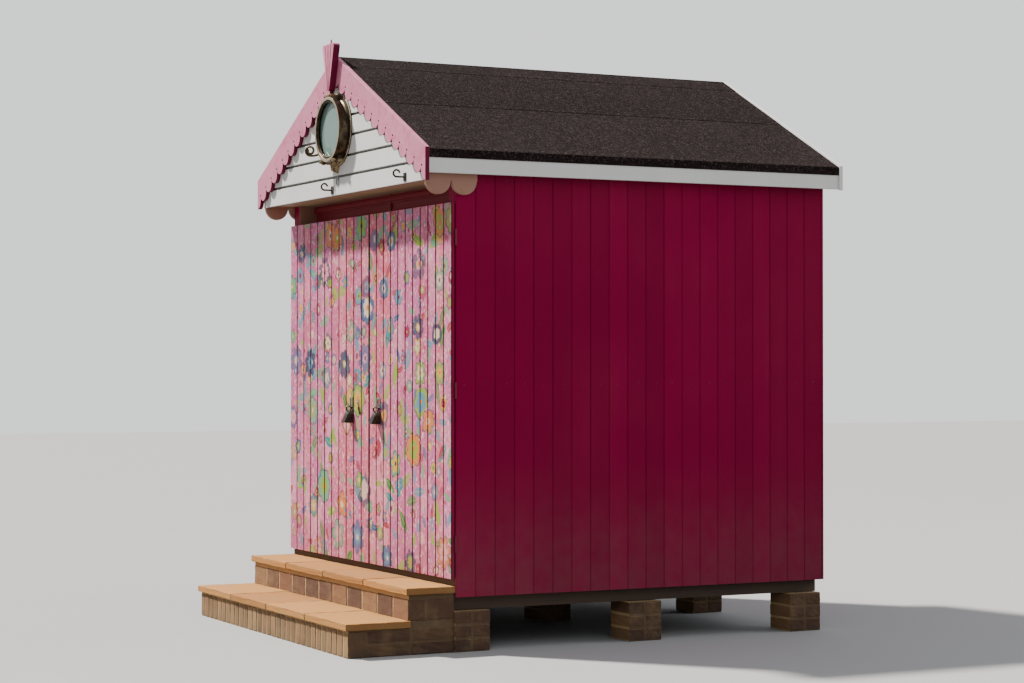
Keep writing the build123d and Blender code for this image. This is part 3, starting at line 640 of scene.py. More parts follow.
# %% The plain metals
brass_fitted = worn_metal("brass_fittings", (0.36, 0.27, 0.15), (0.060, 0.045, 0.030), 0.34,
                          0.85, scale=45, amount=0.85)
brass_worn = worn_metal("worn_brass_screws", (0.34, 0.25, 0.13), (0.06, 0.045, 0.03), 0.36,
                        0.85, scale=60)
brass_scroll = worn_metal("brass_scroll", (0.16, 0.115, 0.065), (0.035, 0.026, 0.018), 0.4,
                          0.8, scale=45, amount=0.8)
zinc = worn_metal("dull_zinc", (0.20, 0.205, 0.21), (0.13, 0.085, 0.055), 0.50, 0.8)
tarred_zinc = worn_metal("tarred_zinc", (0.050, 0.042, 0.038), (0.09, 0.05, 0.03), 0.7, 0.2)
padlock_steel = worn_metal("padlock_steel", (0.62, 0.57, 0.44), (0.28, 0.19, 0.10), 0.36,
                           0.8, scale=90, amount=0.5)
hinge_paint = worn_metal("painted_hinges", (0.17, 0.0008, 0.026), (0.10, 0.03, 0.02), 0.45,
                         0.0, scale=70, amount=0.45)
painted_iron = worn_metal("painted_iron", (0.085, 0.002, 0.014), (0.13, 0.07, 0.05), 0.5,
                          0.1, scale=70, amount=0.5)
print("metals", [m.name for m in (brass_fitted, brass_worn, brass_scroll, zinc, tarred_zinc,
                                  padlock_steel, hinge_paint, painted_iron)])

# %% [markdown]
# Brick, mortar and stone. Each brick carries its own tone, which a ramp turns into one of
# the kiln's colours; sand and burnt specks lie over it. The slabs are a soft sandy stone.
# The ends of the steps carry painted shade, and damp creeps up
# from the ground.

# %% Masonry
DAMP = (0.048, 0.043, 0.031)
SAND = (0.62, 0.42, 0.19)
END_SHADE_BROWN = (0.052, 0.029, 0.019)


def masonry(name, stops, speck, roughness, grain_size, bump, ends=0.0, dust=0.0):
    """A fired or quarried surface whose main colour comes from the piece's own tone."""
    stone = Finish(name, roughness)
    stone.colour((stone.tone() * 0.75 + stone.noise(14, 5) * 0.25).ramp(stops))
    stone.cover(stone.noise(grain_size, 3, 0.7).step(0.58, 0.68) * 0.6, speck)
    height = stone.place.parts()[2]
    stone.cover(height.step(0.06, 0.0) * stone.noise(11, 4) * 0.6, DAMP)
    # Painted shade: faces that look along X, the ends of the steps and piers, are darkened by
    # the ends amount, and no sand is laid on them.
    shaded_ends = abs(stone.normal.parts()[0]).step(0.5, 0.8)
    sand = height.step(0.21, 0.13) * stone.noise(8, 5) * (1.0 - shaded_ends)
    stone.cover(sand * dust, SAND)
    stone.cover(shaded_ends * ends, END_SHADE_BROWN)
    stone.cover(stone.noise(5, 6, 0.65).step(0.45, 0.72) * 0.45, speck)
    stone.bump(stone.noise(grain_size, 5, 0.7), bump, 0.9)
    stone.bump(stone.noise(grain_size * 0.22, 4, 0.6), bump * 3, 0.6)
    return stone.material


brick_red = masonry("red_brick", [(0.0, (0.055, 0.026, 0.016)), (0.35, (0.120, 0.050, 0.025)),
                                  (0.7, (0.185, 0.080, 0.036)), (1.0, (0.28, 0.165, 0.068))],
                    (0.26, 0.17, 0.08), 0.88, 230, 0.0016, ends=0.72, dust=0.36)
mortar = masonry("sandy_mortar", [(0.0, (0.44, 0.30, 0.14)), (1.0, (0.56, 0.39, 0.19))],
                 (0.24, 0.17, 0.10), 0.95, 420, 0.0012, ends=0.84, dust=0.9)
slab_stone = masonry("sandy_slab", [(0.0, (0.33, 0.137, 0.029)), (0.5, (0.42, 0.180, 0.039)),
                                    (1.0, (0.51, 0.238, 0.060))],
                     (0.32, 0.20, 0.075), 0.86, 150, 0.0014, ends=0.48)
print("masonry", [m.name for m in (brick_red, mortar, slab_stone)])

# %% [markdown]
# The doors are painted all over with flowers. The design here is a generic one: cells
# scattered over the leaf each hold one flower, with its own number of petals, size, turn
# and colours picked at random, and smaller cells hold leaves and dabs of pale paint. A
# brush never draws a true circle, so the place on the leaf is first bent by noise. It is
# all made in the shader, because paint has no thickness worth a mesh and has to run across
# the joints of the boards without a break.

# %% Painted motifs
def scattered(paint, flat, size, shift):
    """Cells over the leaf: the place inside each cell, and three random numbers."""
    moved = flat + shift
    cells = paint.cells(1 / size, moved, "2D", 0.95)
    return moved - cells["Position"], cells["Color"].parts()


def another(chance, factor):
    """A further random number, made from one that is there."""
    return chance.graph.reckon("FRACT", chance * factor)


def one_of(colours, chance):
    """One of some colours, picked by a random number."""
    stops = [(index / len(colours), colour) for index, colour in enumerate(colours)]
    return chance.ramp(stops, "CONSTANT")


def brushed_on(paint, shape, chance, share, colour):
    """Lay a motif over the paint in a share of the cells, thinly in some of them."""
    picked = chance[2].step(1 - share - 0.005, 1 - share + 0.005)
    thickness = another(chance[1], 5.1) * 0.3 + 0.7
    paint.cover(shape * picked * thickness, colour)


# %% [markdown]
# A flower comes from the angle and the distance to its middle. The cosine of half the angle
# times the number of petals gives their wavy rim, and a smaller rim inside is the heart. The
# outline and the eye are bands of distance, so a flower of any size keeps its proportions.

# %% Flowers
NAVY = (0.012, 0.030, 0.095)
OUTLINE_BLUE = (0.020, 0.045, 0.070)
ORANGE = (0.66, 0.19, 0.02)
BONE = (0.70, 0.58, 0.40)
BRUSH_GREY = (0.45, 0.40, 0.36)
FLOWER_REACH = 0.40


def flowers(paint, flat, size, shift, outer, inner, share):
    """Flowers with five to eight petals, a second colour inside and a dark or pale eye."""
    inside, chance = scattered(paint, flat, size, shift)
    x, y, _ = inside.parts()
    soft = size * 0.022
    petals = paint.reckon("FLOOR", another(chance[0], 9.3) * 3.99 + 5.0)
    half_turn = (chance[0] * math.tau + paint.reckon("ARCTAN2", y, x)) * (petals * 0.5)
    wave = paint.reckon("POWER", abs(paint.reckon("COSINE", half_turn)), 0.6)
    notch = another(chance[1], 3.3) * 0.35 + 0.15
    full = (chance[1] * 0.55 + 0.45) * (size * FLOWER_REACH)
    rim = (1.0 - notch * (1.0 - wave)) * full
    radius = paint.reckon("LENGTH", inside)
    from_rim = rim - radius
    strokes = paint.noise(120, 2).step(0.45, 0.7)
    main = paint.mix(strokes * 0.3, one_of(outer, another(chance[2], 7.3)), BRUSH_GREY)
    heart = rim * (another(chance[0], 5.9) * 0.40 + 0.28) - radius
    main = paint.mix(heart.step(-soft, soft), main, one_of(inner, another(chance[2], 17.9)))
    outline = from_rim.step(size * 0.055, size * 0.02) * 0.8
    main = paint.mix(outline, main, OUTLINE_BLUE)
    eye = (full * 0.16 - radius).step(-soft, soft)
    main = paint.mix(eye, main, one_of((ORANGE, BONE, NAVY), another(chance[1], 11.7)))
    brushed_on(paint, from_rim.step(-soft, soft), chance, share, main)


# %% [markdown]
# A leaf is the space under a parabola on both sides of its vein. Its cell's random number turns
# it, by the same two lines of sine and cosine that turn any point. A dab is a circle squeezed
# a little, because that is the mark of a round brush pressed down.

# %% Leaves and dabs
VEIN = (0.50, 0.52, 0.16)


def leaves(paint, flat, size, shift, colours, share):
    """Pointed leaves that lie at random angles."""
    inside, chance = scattered(paint, flat, size, shift)
    x, y, _ = inside.parts()
    soft = size * 0.02
    turn = chance[0] * math.tau
    cosine = paint.reckon("COSINE", turn)
    sine = paint.reckon("SINE", turn)
    part = (x * cosine + y * sine) / (size * 0.42)
    away = abs(y * cosine - x * sine)
    blade = (1.0 - part * part) * (size * 0.15) - away
    vein = away.step(size * 0.022, size * 0.006) * 0.5
    main = paint.mix(vein, one_of(colours, another(chance[2], 5.7)), VEIN)
    brushed_on(paint, blade.step(-soft, soft), chance, share, main)


def dabs(paint, flat, size, shift, colours, share, radius):
    """Dabs of paint, a little taller than wide."""
    inside, chance = scattered(paint, flat, size, shift)
    round_part = paint.reckon("LENGTH", inside * (1, 0.6, 1))
    dot = (chance[1] * 0.6 + 0.4) * radius - round_part
    colour = one_of(colours, another(chance[0], 3.7))
    brushed_on(paint, dot.step(-radius * 0.2, radius * 0.2), chance, share, colour)


# %% [markdown]
# The doors get their paint in the order of a brush: two pinks that change from board to board,
# faded and smeared patches, small dabs, leaves, flowers from small to large, and a few dabs
# over them. The joints and the outer edges are crimson, a band of painted shade darkens the
# meeting of the leaves, and grime has settled low down.

# %% The doors' paint
SALMON = (0.64, 0.130, 0.205)
LILAC_PINK = (0.56, 0.140, 0.305)
PALE_PINK = (0.78, 0.33, 0.38)
PINK_WHITE = (0.88, 0.58, 0.62)
FADED_PINK = (0.88, 0.38, 0.50)
DEEP_ROSE = (0.36, 0.045, 0.125)
WORN_ROSE = (0.24, 0.025, 0.06)
ROSE = (0.36, 0.012, 0.045)
BLUE = (0.03, 0.11, 0.27)
SKY = (0.09, 0.26, 0.36)
TURQUOISE = (0.02, 0.23, 0.24)
MINT = (0.14, 0.36, 0.20)
GREEN = (0.04, 0.20, 0.025)
LIME = (0.24, 0.38, 0.03)
YELLOW = (0.66, 0.38, 0.05)
JOINT_AND_SEAM_SHADE_CRIMSON = (0.045, 0.0008, 0.010)
LEAF_GRIME = (0.12, 0.06, 0.06)


def flower_paint(front_y, seam_x, outer_x):
    """Pink boards with crimson joints and edges, and flowers on the outer face."""
    paint = Finish("flower_painted_boards", 0.45, shine=0.2)
    x, y, z = paint.place.parts()
    bend_x, _, bend_z = (paint.drift(9, 0.040) + paint.drift(38, 0.014)).parts()
    flat = paint.join(x + bend_x, z + bend_z)
    paint.colour(paint.mix(paint.tone().step(0.35, 0.65), SALMON, LILAC_PINK))
    faded = paint.noise(6, 4, stretch=(1, 1, 0.35)).step(0.46, 0.7)
    paint.cover(faded * 0.6, FADED_PINK)
    smears = paint.noise(48, 5, 0.7, (1, 1, 0.55))
    paint.cover(smears.step(0.52, 0.68) * 0.45, FADED_PINK)
    paint.cover(smears.step(0.47, 0.34) * 0.5, DEEP_ROSE)
    dabs(paint, flat, 0.045, (0.31, 0.17, 0), (PALE_PINK, BONE, ROSE, PALE_PINK), 0.45,
         0.0085)
    dabs(paint, flat, 0.029, (5.31, 2.17, 0), (PINK_WHITE, PALE_PINK, PINK_WHITE, BONE),
         0.45, 0.0062)
    leaves(paint, flat, 0.19, (1.3, 2.2, 0), (GREEN, MINT, LIME, TURQUOISE, SKY), 0.50)
    leaves(paint, flat, 0.12, (4.1, 0.7, 0), (MINT, ROSE, SKY, LIME, BLUE), 0.45)
    flowers(paint, flat, 0.15, (7.7, 3.4, 0), (PALE_PINK, SKY, YELLOW, ROSE, MINT, BLUE),
            (LIME, BONE, ROSE, YELLOW), 0.42)
    flowers(paint, flat, 0.27, (2.6, 5.9, 0),
            (NAVY, SKY, ORANGE, TURQUOISE, BLUE, LIME, MINT, NAVY),
            (BONE, SKY, YELLOW, BONE, PALE_PINK, LIME), 0.68)
    dabs(paint, flat, 0.07, (3.3, 8.1, 0), (PALE_PINK, BONE, YELLOW, SKY), 0.35, 0.010)
    depth = y - front_y
    from_seam = abs(x - seam_x)
    # Painted shade: within about a centimetre of the seam the leaves take the joints' dark
    # crimson, for the shade in the gap between them.
    joint = paint.reckon("MAXIMUM", depth.step(0.0004, 0.0011), from_seam.step(0.013, 0.011))
    paint.cover(joint, JOINT_AND_SEAM_SHADE_CRIMSON)
    leaf_end = abs(x).step(outer_x - 0.0025, outer_x - 0.0015)
    paint.cover(paint.reckon("MAXIMUM", depth.step(0.010, 0.012), leaf_end * joint), CRIMSON)
    streaks = paint.noise(200, 3, stretch=ALONG_Z)
    paint.cover(streaks.step(0.5, 0.8) * 0.25, WORN_ROSE)
    paint.cover(z.step(0.75, 0.38) * paint.noise(10, 5) * 0.45, LEAF_GRIME)
    paint.give({"Roughness": streaks * 0.2 + 0.36})
    paint.bump(streaks, 0.0003, 0.7)
    return paint.material


seam = (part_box("left_door_boards")[1].x + door_low.x) / 2
flower_boards = flower_paint(door_low.y, seam, door_high.x)
print("flower paint has", len(flower_boards.node_tree.nodes), "nodes")

# %% [markdown]
# Floor sheet for the studio. It belongs to the stage and not to the hut. A pale floor would
# throw so much light back up that the gable's shadow on the doors would fade, so only rays
# that come from the camera find it pale.

# %% Floor
FLOOR_REACH = 40
FLOOR_DROP = 0.002
floor_finish = Finish("pale_floor", 0.8)
seen = floor_finish.node("ShaderNodeLightPath")["Is Camera Ray"]
pale = floor_finish.mix(floor_finish.noise(0.8, 3), (0.40, 0.405, 0.41),
                        (0.42, 0.425, 0.43))
floor_finish.colour(floor_finish.mix(seen, (0.17, 0.165, 0.16), pale))
floor_mesh = bpy.data.meshes.new("studio_floor")
floor_mesh.from_pydata([(x * FLOOR_REACH, y * FLOOR_REACH, 0) for x, y in (
    (-1, -1), (1, -1), (1, 1), (-1, 1))], [], [(0, 1, 2, 3)])
studio_floor = linked("studio_floor", floor_mesh, floor_finish.material)
studio_floor.location.z = -FLOOR_DROP
print("floor", 2 * FLOOR_REACH, "metres across")

# %% [markdown]
# Pieces of the model whose shape is already right only need a finish. Each is matched to
# its material by name, with the grain running the way the timber runs.

# %% Finishes for the model's own pieces
FINISHES = (
    (mortar, "brick_piers lower_step_bricks upper_step_bricks"),
    (slab_stone, "step_slabs"),
    (underfloor_shade_y, "floor_bearers"),
    (underfloor_shade_x, "floor_joists"),
    (deck_timber, "floor_deck"),
    (timber_x, "rear_wall_plates rafters gable_tie left_door_ledges right_door_ledges"),
    (timber_y, "side_wall_plates ridge_board left_roof_boards right_roof_boards"),
    (timber_z, "wall_studs"),
    (post_crimson, "front_posts"),
    (crimson_level, "head_rail threshold"),
    (crimson_header, "header_panel"),
    (crimson, "left_wall_cladding right_wall_cladding rear_wall_cladding"),
    (gable_white, "gable_panel"),
    (white, "eaves_fascias rear_bargeboards"),
    (tan, "gable_soffit"),
    (cream, "return_boards"),
    (pink_trim, "left_bargeboard right_bargeboard finial"),
    (flower_boards, "left_door_boards right_door_boards"),
    (felt_brown, "left_roof_felt right_roof_felt ridge_felt"),
    (hinge_paint, "left_door_hinges right_door_hinges post_hinges"),
    (lock_metal, "left_door_lock right_door_lock"),
    (hook_metal, "gable_hooks"),
    (brass_drum, "porthole_flange"),
    (brass_ring, "porthole_ring"),
    (brass_fitted, "porthole_fittings"),
    (glass_green, "porthole_glass"),
)
finish_of = {node: finish for finish, names in FINISHES for node in names.split()}
for node, finish in finish_of.items():
    for slot in nodes[node].material_slots:
        slot.material = finish
print("pieces without a finish:", sorted(set(nodes) - set(finish_of)))

# %% [markdown]
# What repeats on the hut is laid by Geometry Nodes. Copies could be made by a Python loop,
# but a tree keeps the sizes as named inputs that are easy to try out. What the trees share is
# written once, in a class: a copy of a unit piece at every place, leaning a little by a seeded
# random value and with a random tone stored on it, then made real and given its finish.

# %% A class for trees
class Pattern(Graph):
    """A Geometry Nodes tree with named inputs, for a unit object that it repeats."""

    def __init__(self, name, **inputs):
        super().__init__(bpy.data.node_groups.new(name, "GeometryNodeTree"))
        face = self.tree.interface
        face.new_socket("Geometry", in_out="OUTPUT", socket_type="NodeSocketGeometry")
        for label, kind in inputs.items():
            face.new_socket(label, in_out="INPUT", socket_type=f"NodeSocket{kind}")
        self.given = self.node("NodeGroupInput")
        self.index = self.node("GeometryNodeInputIndex")[0]

    def unit(self):
        """The mesh of the unit object."""
        return self.node("GeometryNodeObjectInfo", {"Object": self.given["Unit"]})["Geometry"]

    def chance(self, reach, shift):
        """A random vector between minus reach and reach."""
        return self.node("FunctionNodeRandomValue", {
            0: reach * -1.0, 1: reach, "Seed": self.given["Seed"] + shift},
            data_type="FLOAT_VECTOR")[0]

    def end(self, geometry):
        """Make the pieces real, give them their finish and end the tree."""
        real = self.node("GeometryNodeRealizeInstances", {0: geometry})[0]
        done = self.node("GeometryNodeSetMaterial", {
            "Geometry": real, "Material": self.given["Finish"]})[0]
        self.node("NodeGroupOutput", {0: done})
        return self.tree

    def copies(self, count, place):
        """Put a leaning copy of the unit at each place, with a tone of its own."""
        points = self.node("GeometryNodePoints", {"Count": count, "Position": place})[0]
        laid_out = self.node("GeometryNodeInstanceOnPoints", {
            "Points": points, "Instance": self.unit(),
            "Rotation": self.chance(self.given["Lean"], 2)})[0]
        tone = self.node("FunctionNodeRandomValue", {"Seed": self.given["Seed"] + 3})[1]
        return self.end(self.node("GeometryNodeStoreNamedAttribute", {
            "Geometry": laid_out, "Name": "tone", "Value": tone}, domain="INSTANCE")[0])


# %% [markdown]
# Boards, bricks, slabs and nails all repeat in rows, so one tree lays a grid of courses and
# slips each piece a little. A grid can't follow a circle, so a second tree lays screws round
# the porthole, and a third sweeps a round bar along a path.

# %% Trees that lay pieces
courses = Pattern("laid_in_courses", Unit="Object", Across="Int", Courses="Int",
                  Start="Vector", Step="Vector", Rise="Vector", Slip="Vector",
                  Lean="Vector", Seed="Int", Finish="Material")
given = courses.given
row = courses.reckon("FLOOR", courses.index / given["Across"])
column = courses.index - row * given["Across"]
spot = (given["Start"] + given["Step"] * column + given["Rise"] * row
        + courses.chance(given["Slip"], 1))
COURSES = courses.copies(given["Across"] * given["Courses"], spot)

ring = Pattern("laid_in_a_ring", Unit="Object", Count="Int", Centre="Vector",
               Radius="Float", First="Float", Lean="Vector", Seed="Int", Finish="Material")
given = ring.given
turn = ring.index / given["Count"] * math.tau + given["First"]
spoke = ring.node("ShaderNodeCombineXYZ", {
    "X": ring.reckon("COSINE", turn), "Z": ring.reckon("SINE", turn)})[0]
RING = ring.copies(given["Count"], given["Centre"] + spoke * given["Radius"])

bar = Pattern("bent_bar", Unit="Object", Radius="Float", Sides="Int", Finish="Material")
line = bar.node("GeometryNodeMeshToCurve", {"Mesh": bar.unit()})[0]
section = bar.node("GeometryNodeCurvePrimitiveCircle", {
    "Resolution": bar.given["Sides"], "Radius": bar.given["Radius"]})[0]
BENT_BAR = bar.end(bar.node("GeometryNodeCurveToMesh", {
    "Curve": line, "Profile Curve": section, "Fill Caps": True})[0])
print("trees", [tree.name for tree in (COURSES, RING, BENT_BAR)])

# %% [markdown]
# A tree runs as a modifier on an empty piece. The result is then turned into a plain mesh
# and the modifier goes, because what is exported and measured has to be real faces.

# %% Running a tree
def plain(piece):
    """Turn an object with modifiers into a plain mesh, with no modifier left."""
    bpy.context.view_layer.update()
    ready = piece.evaluated_get(bpy.context.evaluated_depsgraph_get())
    mesh = bpy.data.meshes.new_from_object(ready)
    mesh.name = piece.name
    piece.modifiers.clear()
    piece.data = mesh
    return piece


def grown(name, tree, unit, finish, values):
    """Run a tree on a unit mesh and return the plain piece, all in one finish."""
    pattern = linked(f"{name}_unit", unit)
    piece = linked(name, bpy.data.meshes.new(name))
    modifier = piece.modifiers.new("pattern", "NODES")
    modifier.node_group = tree
    values = {"Unit": pattern, "Finish": finish, **values}
    for socket in tree.interface.items_tree:
        if socket.in_out == "INPUT":
            modifier[socket.identifier] = values[socket.name]
    mesh = plain(piece).data
    mesh.materials.clear()
    mesh.materials.append(finish)
    mesh.polygons.foreach_set("material_index", [0] * len(mesh.polygons))
    bpy.data.objects.remove(pattern)
    return piece


def laid(name, unit, finish, start, step=(0, 0, 0), across=1, rise=(0, 0, 0), courses=1,
         slip=(0, 0, 0), lean=(0, 0, 0), seed=0):
    """Lay a unit mesh in courses and return the plain piece."""
    return grown(name, COURSES, unit, finish, {
        "Across": across, "Courses": courses, "Start": start, "Step": step, "Rise": rise,
        "Slip": slip, "Lean": lean, "Seed": seed})


# %% [markdown]
# Unit pieces. A board's section is drawn as a short outline and pushed along its length.
# A brick or slab starts as a box whose edges are rounded and whose faces are roughened a
# little, because nothing laid by hand has a knife edge.

# %% Unit pieces
@contextlib.contextmanager
def reworked(mesh, outward=True):
    """Open a mesh for editing, then turn its faces outwards and close it again."""
    work = bmesh.new()
    work.from_mesh(mesh)
    yield work
    if outward:
        bmesh.ops.recalc_face_normals(work, faces=work.faces)
    work.to_mesh(mesh)
    work.free()


def pushed(name, points, length, turn=Matrix()):
    """A section drawn in X and Y, pushed up along Z, then turned into place."""
    mesh = bpy.data.meshes.new(name)
    with reworked(mesh) as work:
        base = work.faces.new([work.verts.new((x, y, 0)) for x, y in points])
        solid = bmesh.ops.extrude_face_region(work, geom=[base])
        tops = [item for item in solid["geom"] if isinstance(item, bmesh.types.BMVert)]
        bmesh.ops.translate(work, verts=tops, vec=(0, 0, length))
        bmesh.ops.transform(work, matrix=turn, verts=work.verts)
    return mesh


def eased_block(name, size, ease, rough=0.0, cuts=0, seed=0, centre=(0, 0, 0)):
    """A box with eased edges and slightly rough faces."""
    mesh = bpy.data.meshes.new(name)
    with reworked(mesh) as work:
        bmesh.ops.create_cube(work, size=1)
        bmesh.ops.scale(work, vec=size, verts=work.verts)
        bmesh.ops.bevel(work, geom=work.edges[:], offset=ease, segments=1,
                        affect="EDGES", profile=0.6)
        if cuts:
            bmesh.ops.subdivide_edges(work, edges=work.edges[:], cuts=cuts,
                                      use_grid_fill=True)
        if rough:
            luck = random.Random(seed)
            for vert in work.verts:
                vert.co += Vector([luck.uniform(-rough, rough) for _ in range(3)])
    mesh.transform(Matrix.Translation(centre))
    return mesh


# %% [markdown]
# Nails and screws are a few millimetres across, but there are hundreds of them. A sphere would
# cost too many faces, so a head is three rings and a point, closed at the back.

# %% Nail heads
def nail_head(radius, height, turn=Matrix(), sides=8):
    """A shallow dome for a nail or a screw, turned from facing up to face outwards."""
    mesh = bpy.data.meshes.new("nail_head")
    circle = [math.tau * k / sides for k in range(sides)]
    with reworked(mesh, outward=False) as work:
        rings = [[work.verts.new((radius * size * math.cos(angle),
                                  radius * size * math.sin(angle), height * lift))
                  for angle in circle]
                 for size, lift in ((1.0, 0.0), (0.85, 0.6), (0.45, 0.93))]
        top = work.verts.new((0, 0, height))
        for k in range(-1, sides - 1):
            for outer, inner in zip(rings, rings[1:]):
                work.faces.new((outer[k], outer[k + 1], inner[k + 1], inner[k]))
            work.faces.new((rings[2][k], rings[2][k + 1], top))
        work.faces.new(reversed(rings[0]))
    mesh.transform(turn)
    return mesh


# %% [markdown]
# A matched board has a tongue on one edge and a groove in the other, and bevels that meet in a
# vee. Only the vee shows, so the section has the bevels and, behind them, a middle part that
# closes the joint.

# %% Matched boards
HAIR = 0.00002


def vee_section(width, thickness, vee, gap=0.0008, back=0.0002):
    """A matched board seen from its end: the face at Y zero, with bevelled edges.

    The joint stands open by the gap at both faces and closes to a hair between them, so no
    daylight comes through it.
    """
    half = (width - gap) / 2
    full = (width - HAIR) / 2
    straight = thickness - vee - back
    first = vee + 0.3 * straight
    last = vee + 0.7 * straight
    right = [(half - vee, 0), (half, vee), (half, first), (full, first), (full, last),
             (half, last), (half, thickness - back), (half - back, thickness)]
    return right + [(-x, y) for x, y in reversed(right)]


# %% [markdown]
# A carpenter cuts boards to a line after they are up, and a Boolean modifier does the same. It
# needs closed meshes, and with the exact solver it copes with faces that nearly touch. The
# same cut makes the slot of a screw. Last, one helper parents a piece to its body and hides the
# model pieces that it stands for.

# %% Cutting and dressing
def cut_by(piece, cutter_mesh, operation="INTERSECT"):
    """Cut a piece with a closed mesh, then throw the cutter away."""
    cutter = linked(f"{piece.name}_cutter", cutter_mesh)
    cut = piece.modifiers.new("cut", "BOOLEAN")
    cut.object = cutter
    cut.operation = operation
    cut.solver = "EXACT"
    plain(piece)
    bpy.data.objects.remove(cutter)
    return piece


def screw_head(radius, height, turn):
    """A round head with a slot across it for the driver."""
    head = linked("screw_head", nail_head(radius, height, sides=16))
    blade = eased_block("blade", (radius * 2.4, radius * 0.3, height), radius * 0.02,
                        centre=(0, 0, height * 0.95))
    mesh = cut_by(head, blade, "DIFFERENCE").data
    bpy.data.objects.remove(head)
    mesh.transform(turn)
    return mesh


def dress(piece, body, slot, *replaced, smooth=None):
    """Give a piece its body and hide the model pieces that it stands for. The slot is not used.
    """
    if smooth is not None:
        piece.data.shade_smooth()
        piece.data.set_sharp_from_angle(angle=math.radians(smooth))
    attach(piece, body)
    if replaced:
        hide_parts(*replaced)
    print(piece.name, len(piece.data.polygons), "faces")
    return piece


# %% [markdown]
# Each door leaf is eleven matched boards with a bevel along both edges, so that every joint
# is a narrow vee. A plain sheet with dark lines painted on it would lose the vees when the
# light rakes across, so the boards are real. They are laid side by side by the tree, a
# fraction of a millimetre in or out.

# %% Door boards
BOARDS_PER_LEAF = 11
DOOR_VEE = 0.0068
OPEN_BACK = 0.003
for side, seed in (("left", 11), ("right", 13)):
    low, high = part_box(f"{side}_door_boards")
    pitch = (high.x - low.x) / BOARDS_PER_LEAF
    unit = pushed("door_board", vee_section(pitch, high.y - low.y, DOOR_VEE, back=OPEN_BACK),
                  high.z - low.z)
    leaf = laid(f"{side}_door_planks", unit, flower_boards,
                start=(low.x + pitch / 2, low.y, low.z), step=(pitch, 0, 0),
                across=BOARDS_PER_LEAF, slip=(0, 0.0004, 0), seed=seed)
    dress(leaf, f"{side}_door", "door_paint", f"{side}_door_boards")

# %% [markdown]
# The side and rear walls are covered with the same matched boards, upright, in plain
# crimson. The strip of side wall that the photograph shows has no level joints, which is why
# the boards stand upright. The rear boards are laid too tall and then cut to the gable.

# %% Wall boards
WALL_BOARD = 0.12
WALL_VEE = 0.004


def wall_row(node, axis, turn):
    """How many boards cover a wall along an axis, their pitch, and one board for it."""
    low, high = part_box(node)
    count = round((high[axis] - low[axis]) / WALL_BOARD)
    pitch = (high[axis] - low[axis]) / count
    thickness = high[1 - axis] - low[1 - axis]
    board = pushed("wall_board", vee_section(pitch, thickness, WALL_VEE, back=OPEN_BACK),
                   high.z - low.z, Matrix.Rotation(math.radians(turn), 4, "Z"))
    return count, pitch, board


for side, turn in (("right", 90), ("left", -90)):
    low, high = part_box(f"{side}_wall_cladding")
    side_count, side_pitch, unit = wall_row(f"{side}_wall_cladding", 1, turn)
    wall = laid(f"{side}_wall_boards", unit, wall_crimson,
                start=(high.x if side == "right" else low.x, low.y + side_pitch / 2, low.z),
                step=(0, side_pitch, 0), across=side_count, slip=(0.0005, 0, 0), seed=21)
    dress(wall, "hut", "crimson_paint", f"{side}_wall_cladding")

low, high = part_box("rear_wall_cladding")
rear_count, rear_pitch, unit = wall_row("rear_wall_cladding", 0, 180)
rear_wall = laid("rear_wall_boards", unit, wall_crimson,
                 start=(low.x + rear_pitch / 2, high.y, low.z), step=(rear_pitch, 0, 0),
                 across=rear_count, slip=(0, 0.0005, 0), seed=23)


FACE_FRONT = Matrix.Rotation(math.pi / 2, 4, "X")
FACE_BACK = Matrix.Rotation(-math.pi / 2, 4, "X")


def corners(node):
    """Where the points of a model piece are."""
    return [vert.co for vert in nodes[node].data.vertices]


def gable_prism(name, node, margin=0.01):
    """A closed prism with the outline of a gabled piece, thicker by a margin."""
    low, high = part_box(node)
    eaves_z = max(c.z for c in corners(node) if abs(c.x - high.x) < 0.001)
    outline = [(low.x, low.z), (high.x, low.z), (high.x, eaves_z), (0, high.z),
               (low.x, eaves_z)]
    if eaves_z < low.z + 0.001:
        outline = [outline[0], outline[1], outline[3]]
    turn = Matrix.Translation((0, high.y + margin, 0)) @ FACE_FRONT
    return pushed(name, outline, high.y - low.y + 2 * margin, turn)


cut_by(rear_wall, gable_prism("rear_cutter", "rear_wall_cladding"))
dress(rear_wall, "hut", "crimson_paint", "rear_wall_cladding")

# %% [markdown]
# The floor's boards run from front to back, so their sawn ends, painted dark as shade, show
# under the doors as a dark broken line. They are the same matched board laid flat on its back.

# %% Deck boards
DECK_BOARD = 0.13
low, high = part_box("floor_deck")
deck_count = round((high.x - low.x) / DECK_BOARD)
pitch = (high.x - low.x) / deck_count
face_up = Matrix(((1, 0, 0, 0), (0, 0, 1, 0), (0, -1, 0, 0), (0, 0, 0, 1)))
unit = pushed("deck_board", vee_section(pitch, high.z - low.z, 0.0015, gap=0.0016),
              high.y - low.y, face_up)
deck = laid("deck_boards", unit, deck_timber, start=(low.x + pitch / 2, low.y, high.z),
            step=(pitch, 0, 0), across=deck_count, slip=(0, 0.0008, 0.0004), seed=25)
dress(deck, "hut", "frame_timber", "floor_deck")

# %% [markdown]
# Under the felt the roof is boarded too. The boards lie along the slope with their vees
# downwards, where somebody inside sees them between the rafters. They are laid a little too
# large and then cut to the model's own sheet, which gives the plumb cut at the ridge.

# %% Roof boards
ROOF_BOARD = 0.12
ROOF_VEE = 0.005
SPARE = 0.004


def merged_copy(node):
    """The mesh of a model piece with its loose triangles joined up."""
    mesh = bpy.data.meshes.new(f"{node}_copy")
    with reworked(mesh, outward=False) as work:
        work.from_mesh(nodes[node].data)
        bmesh.ops.remove_doubles(work, verts=work.verts, dist=0.00004)
    return mesh


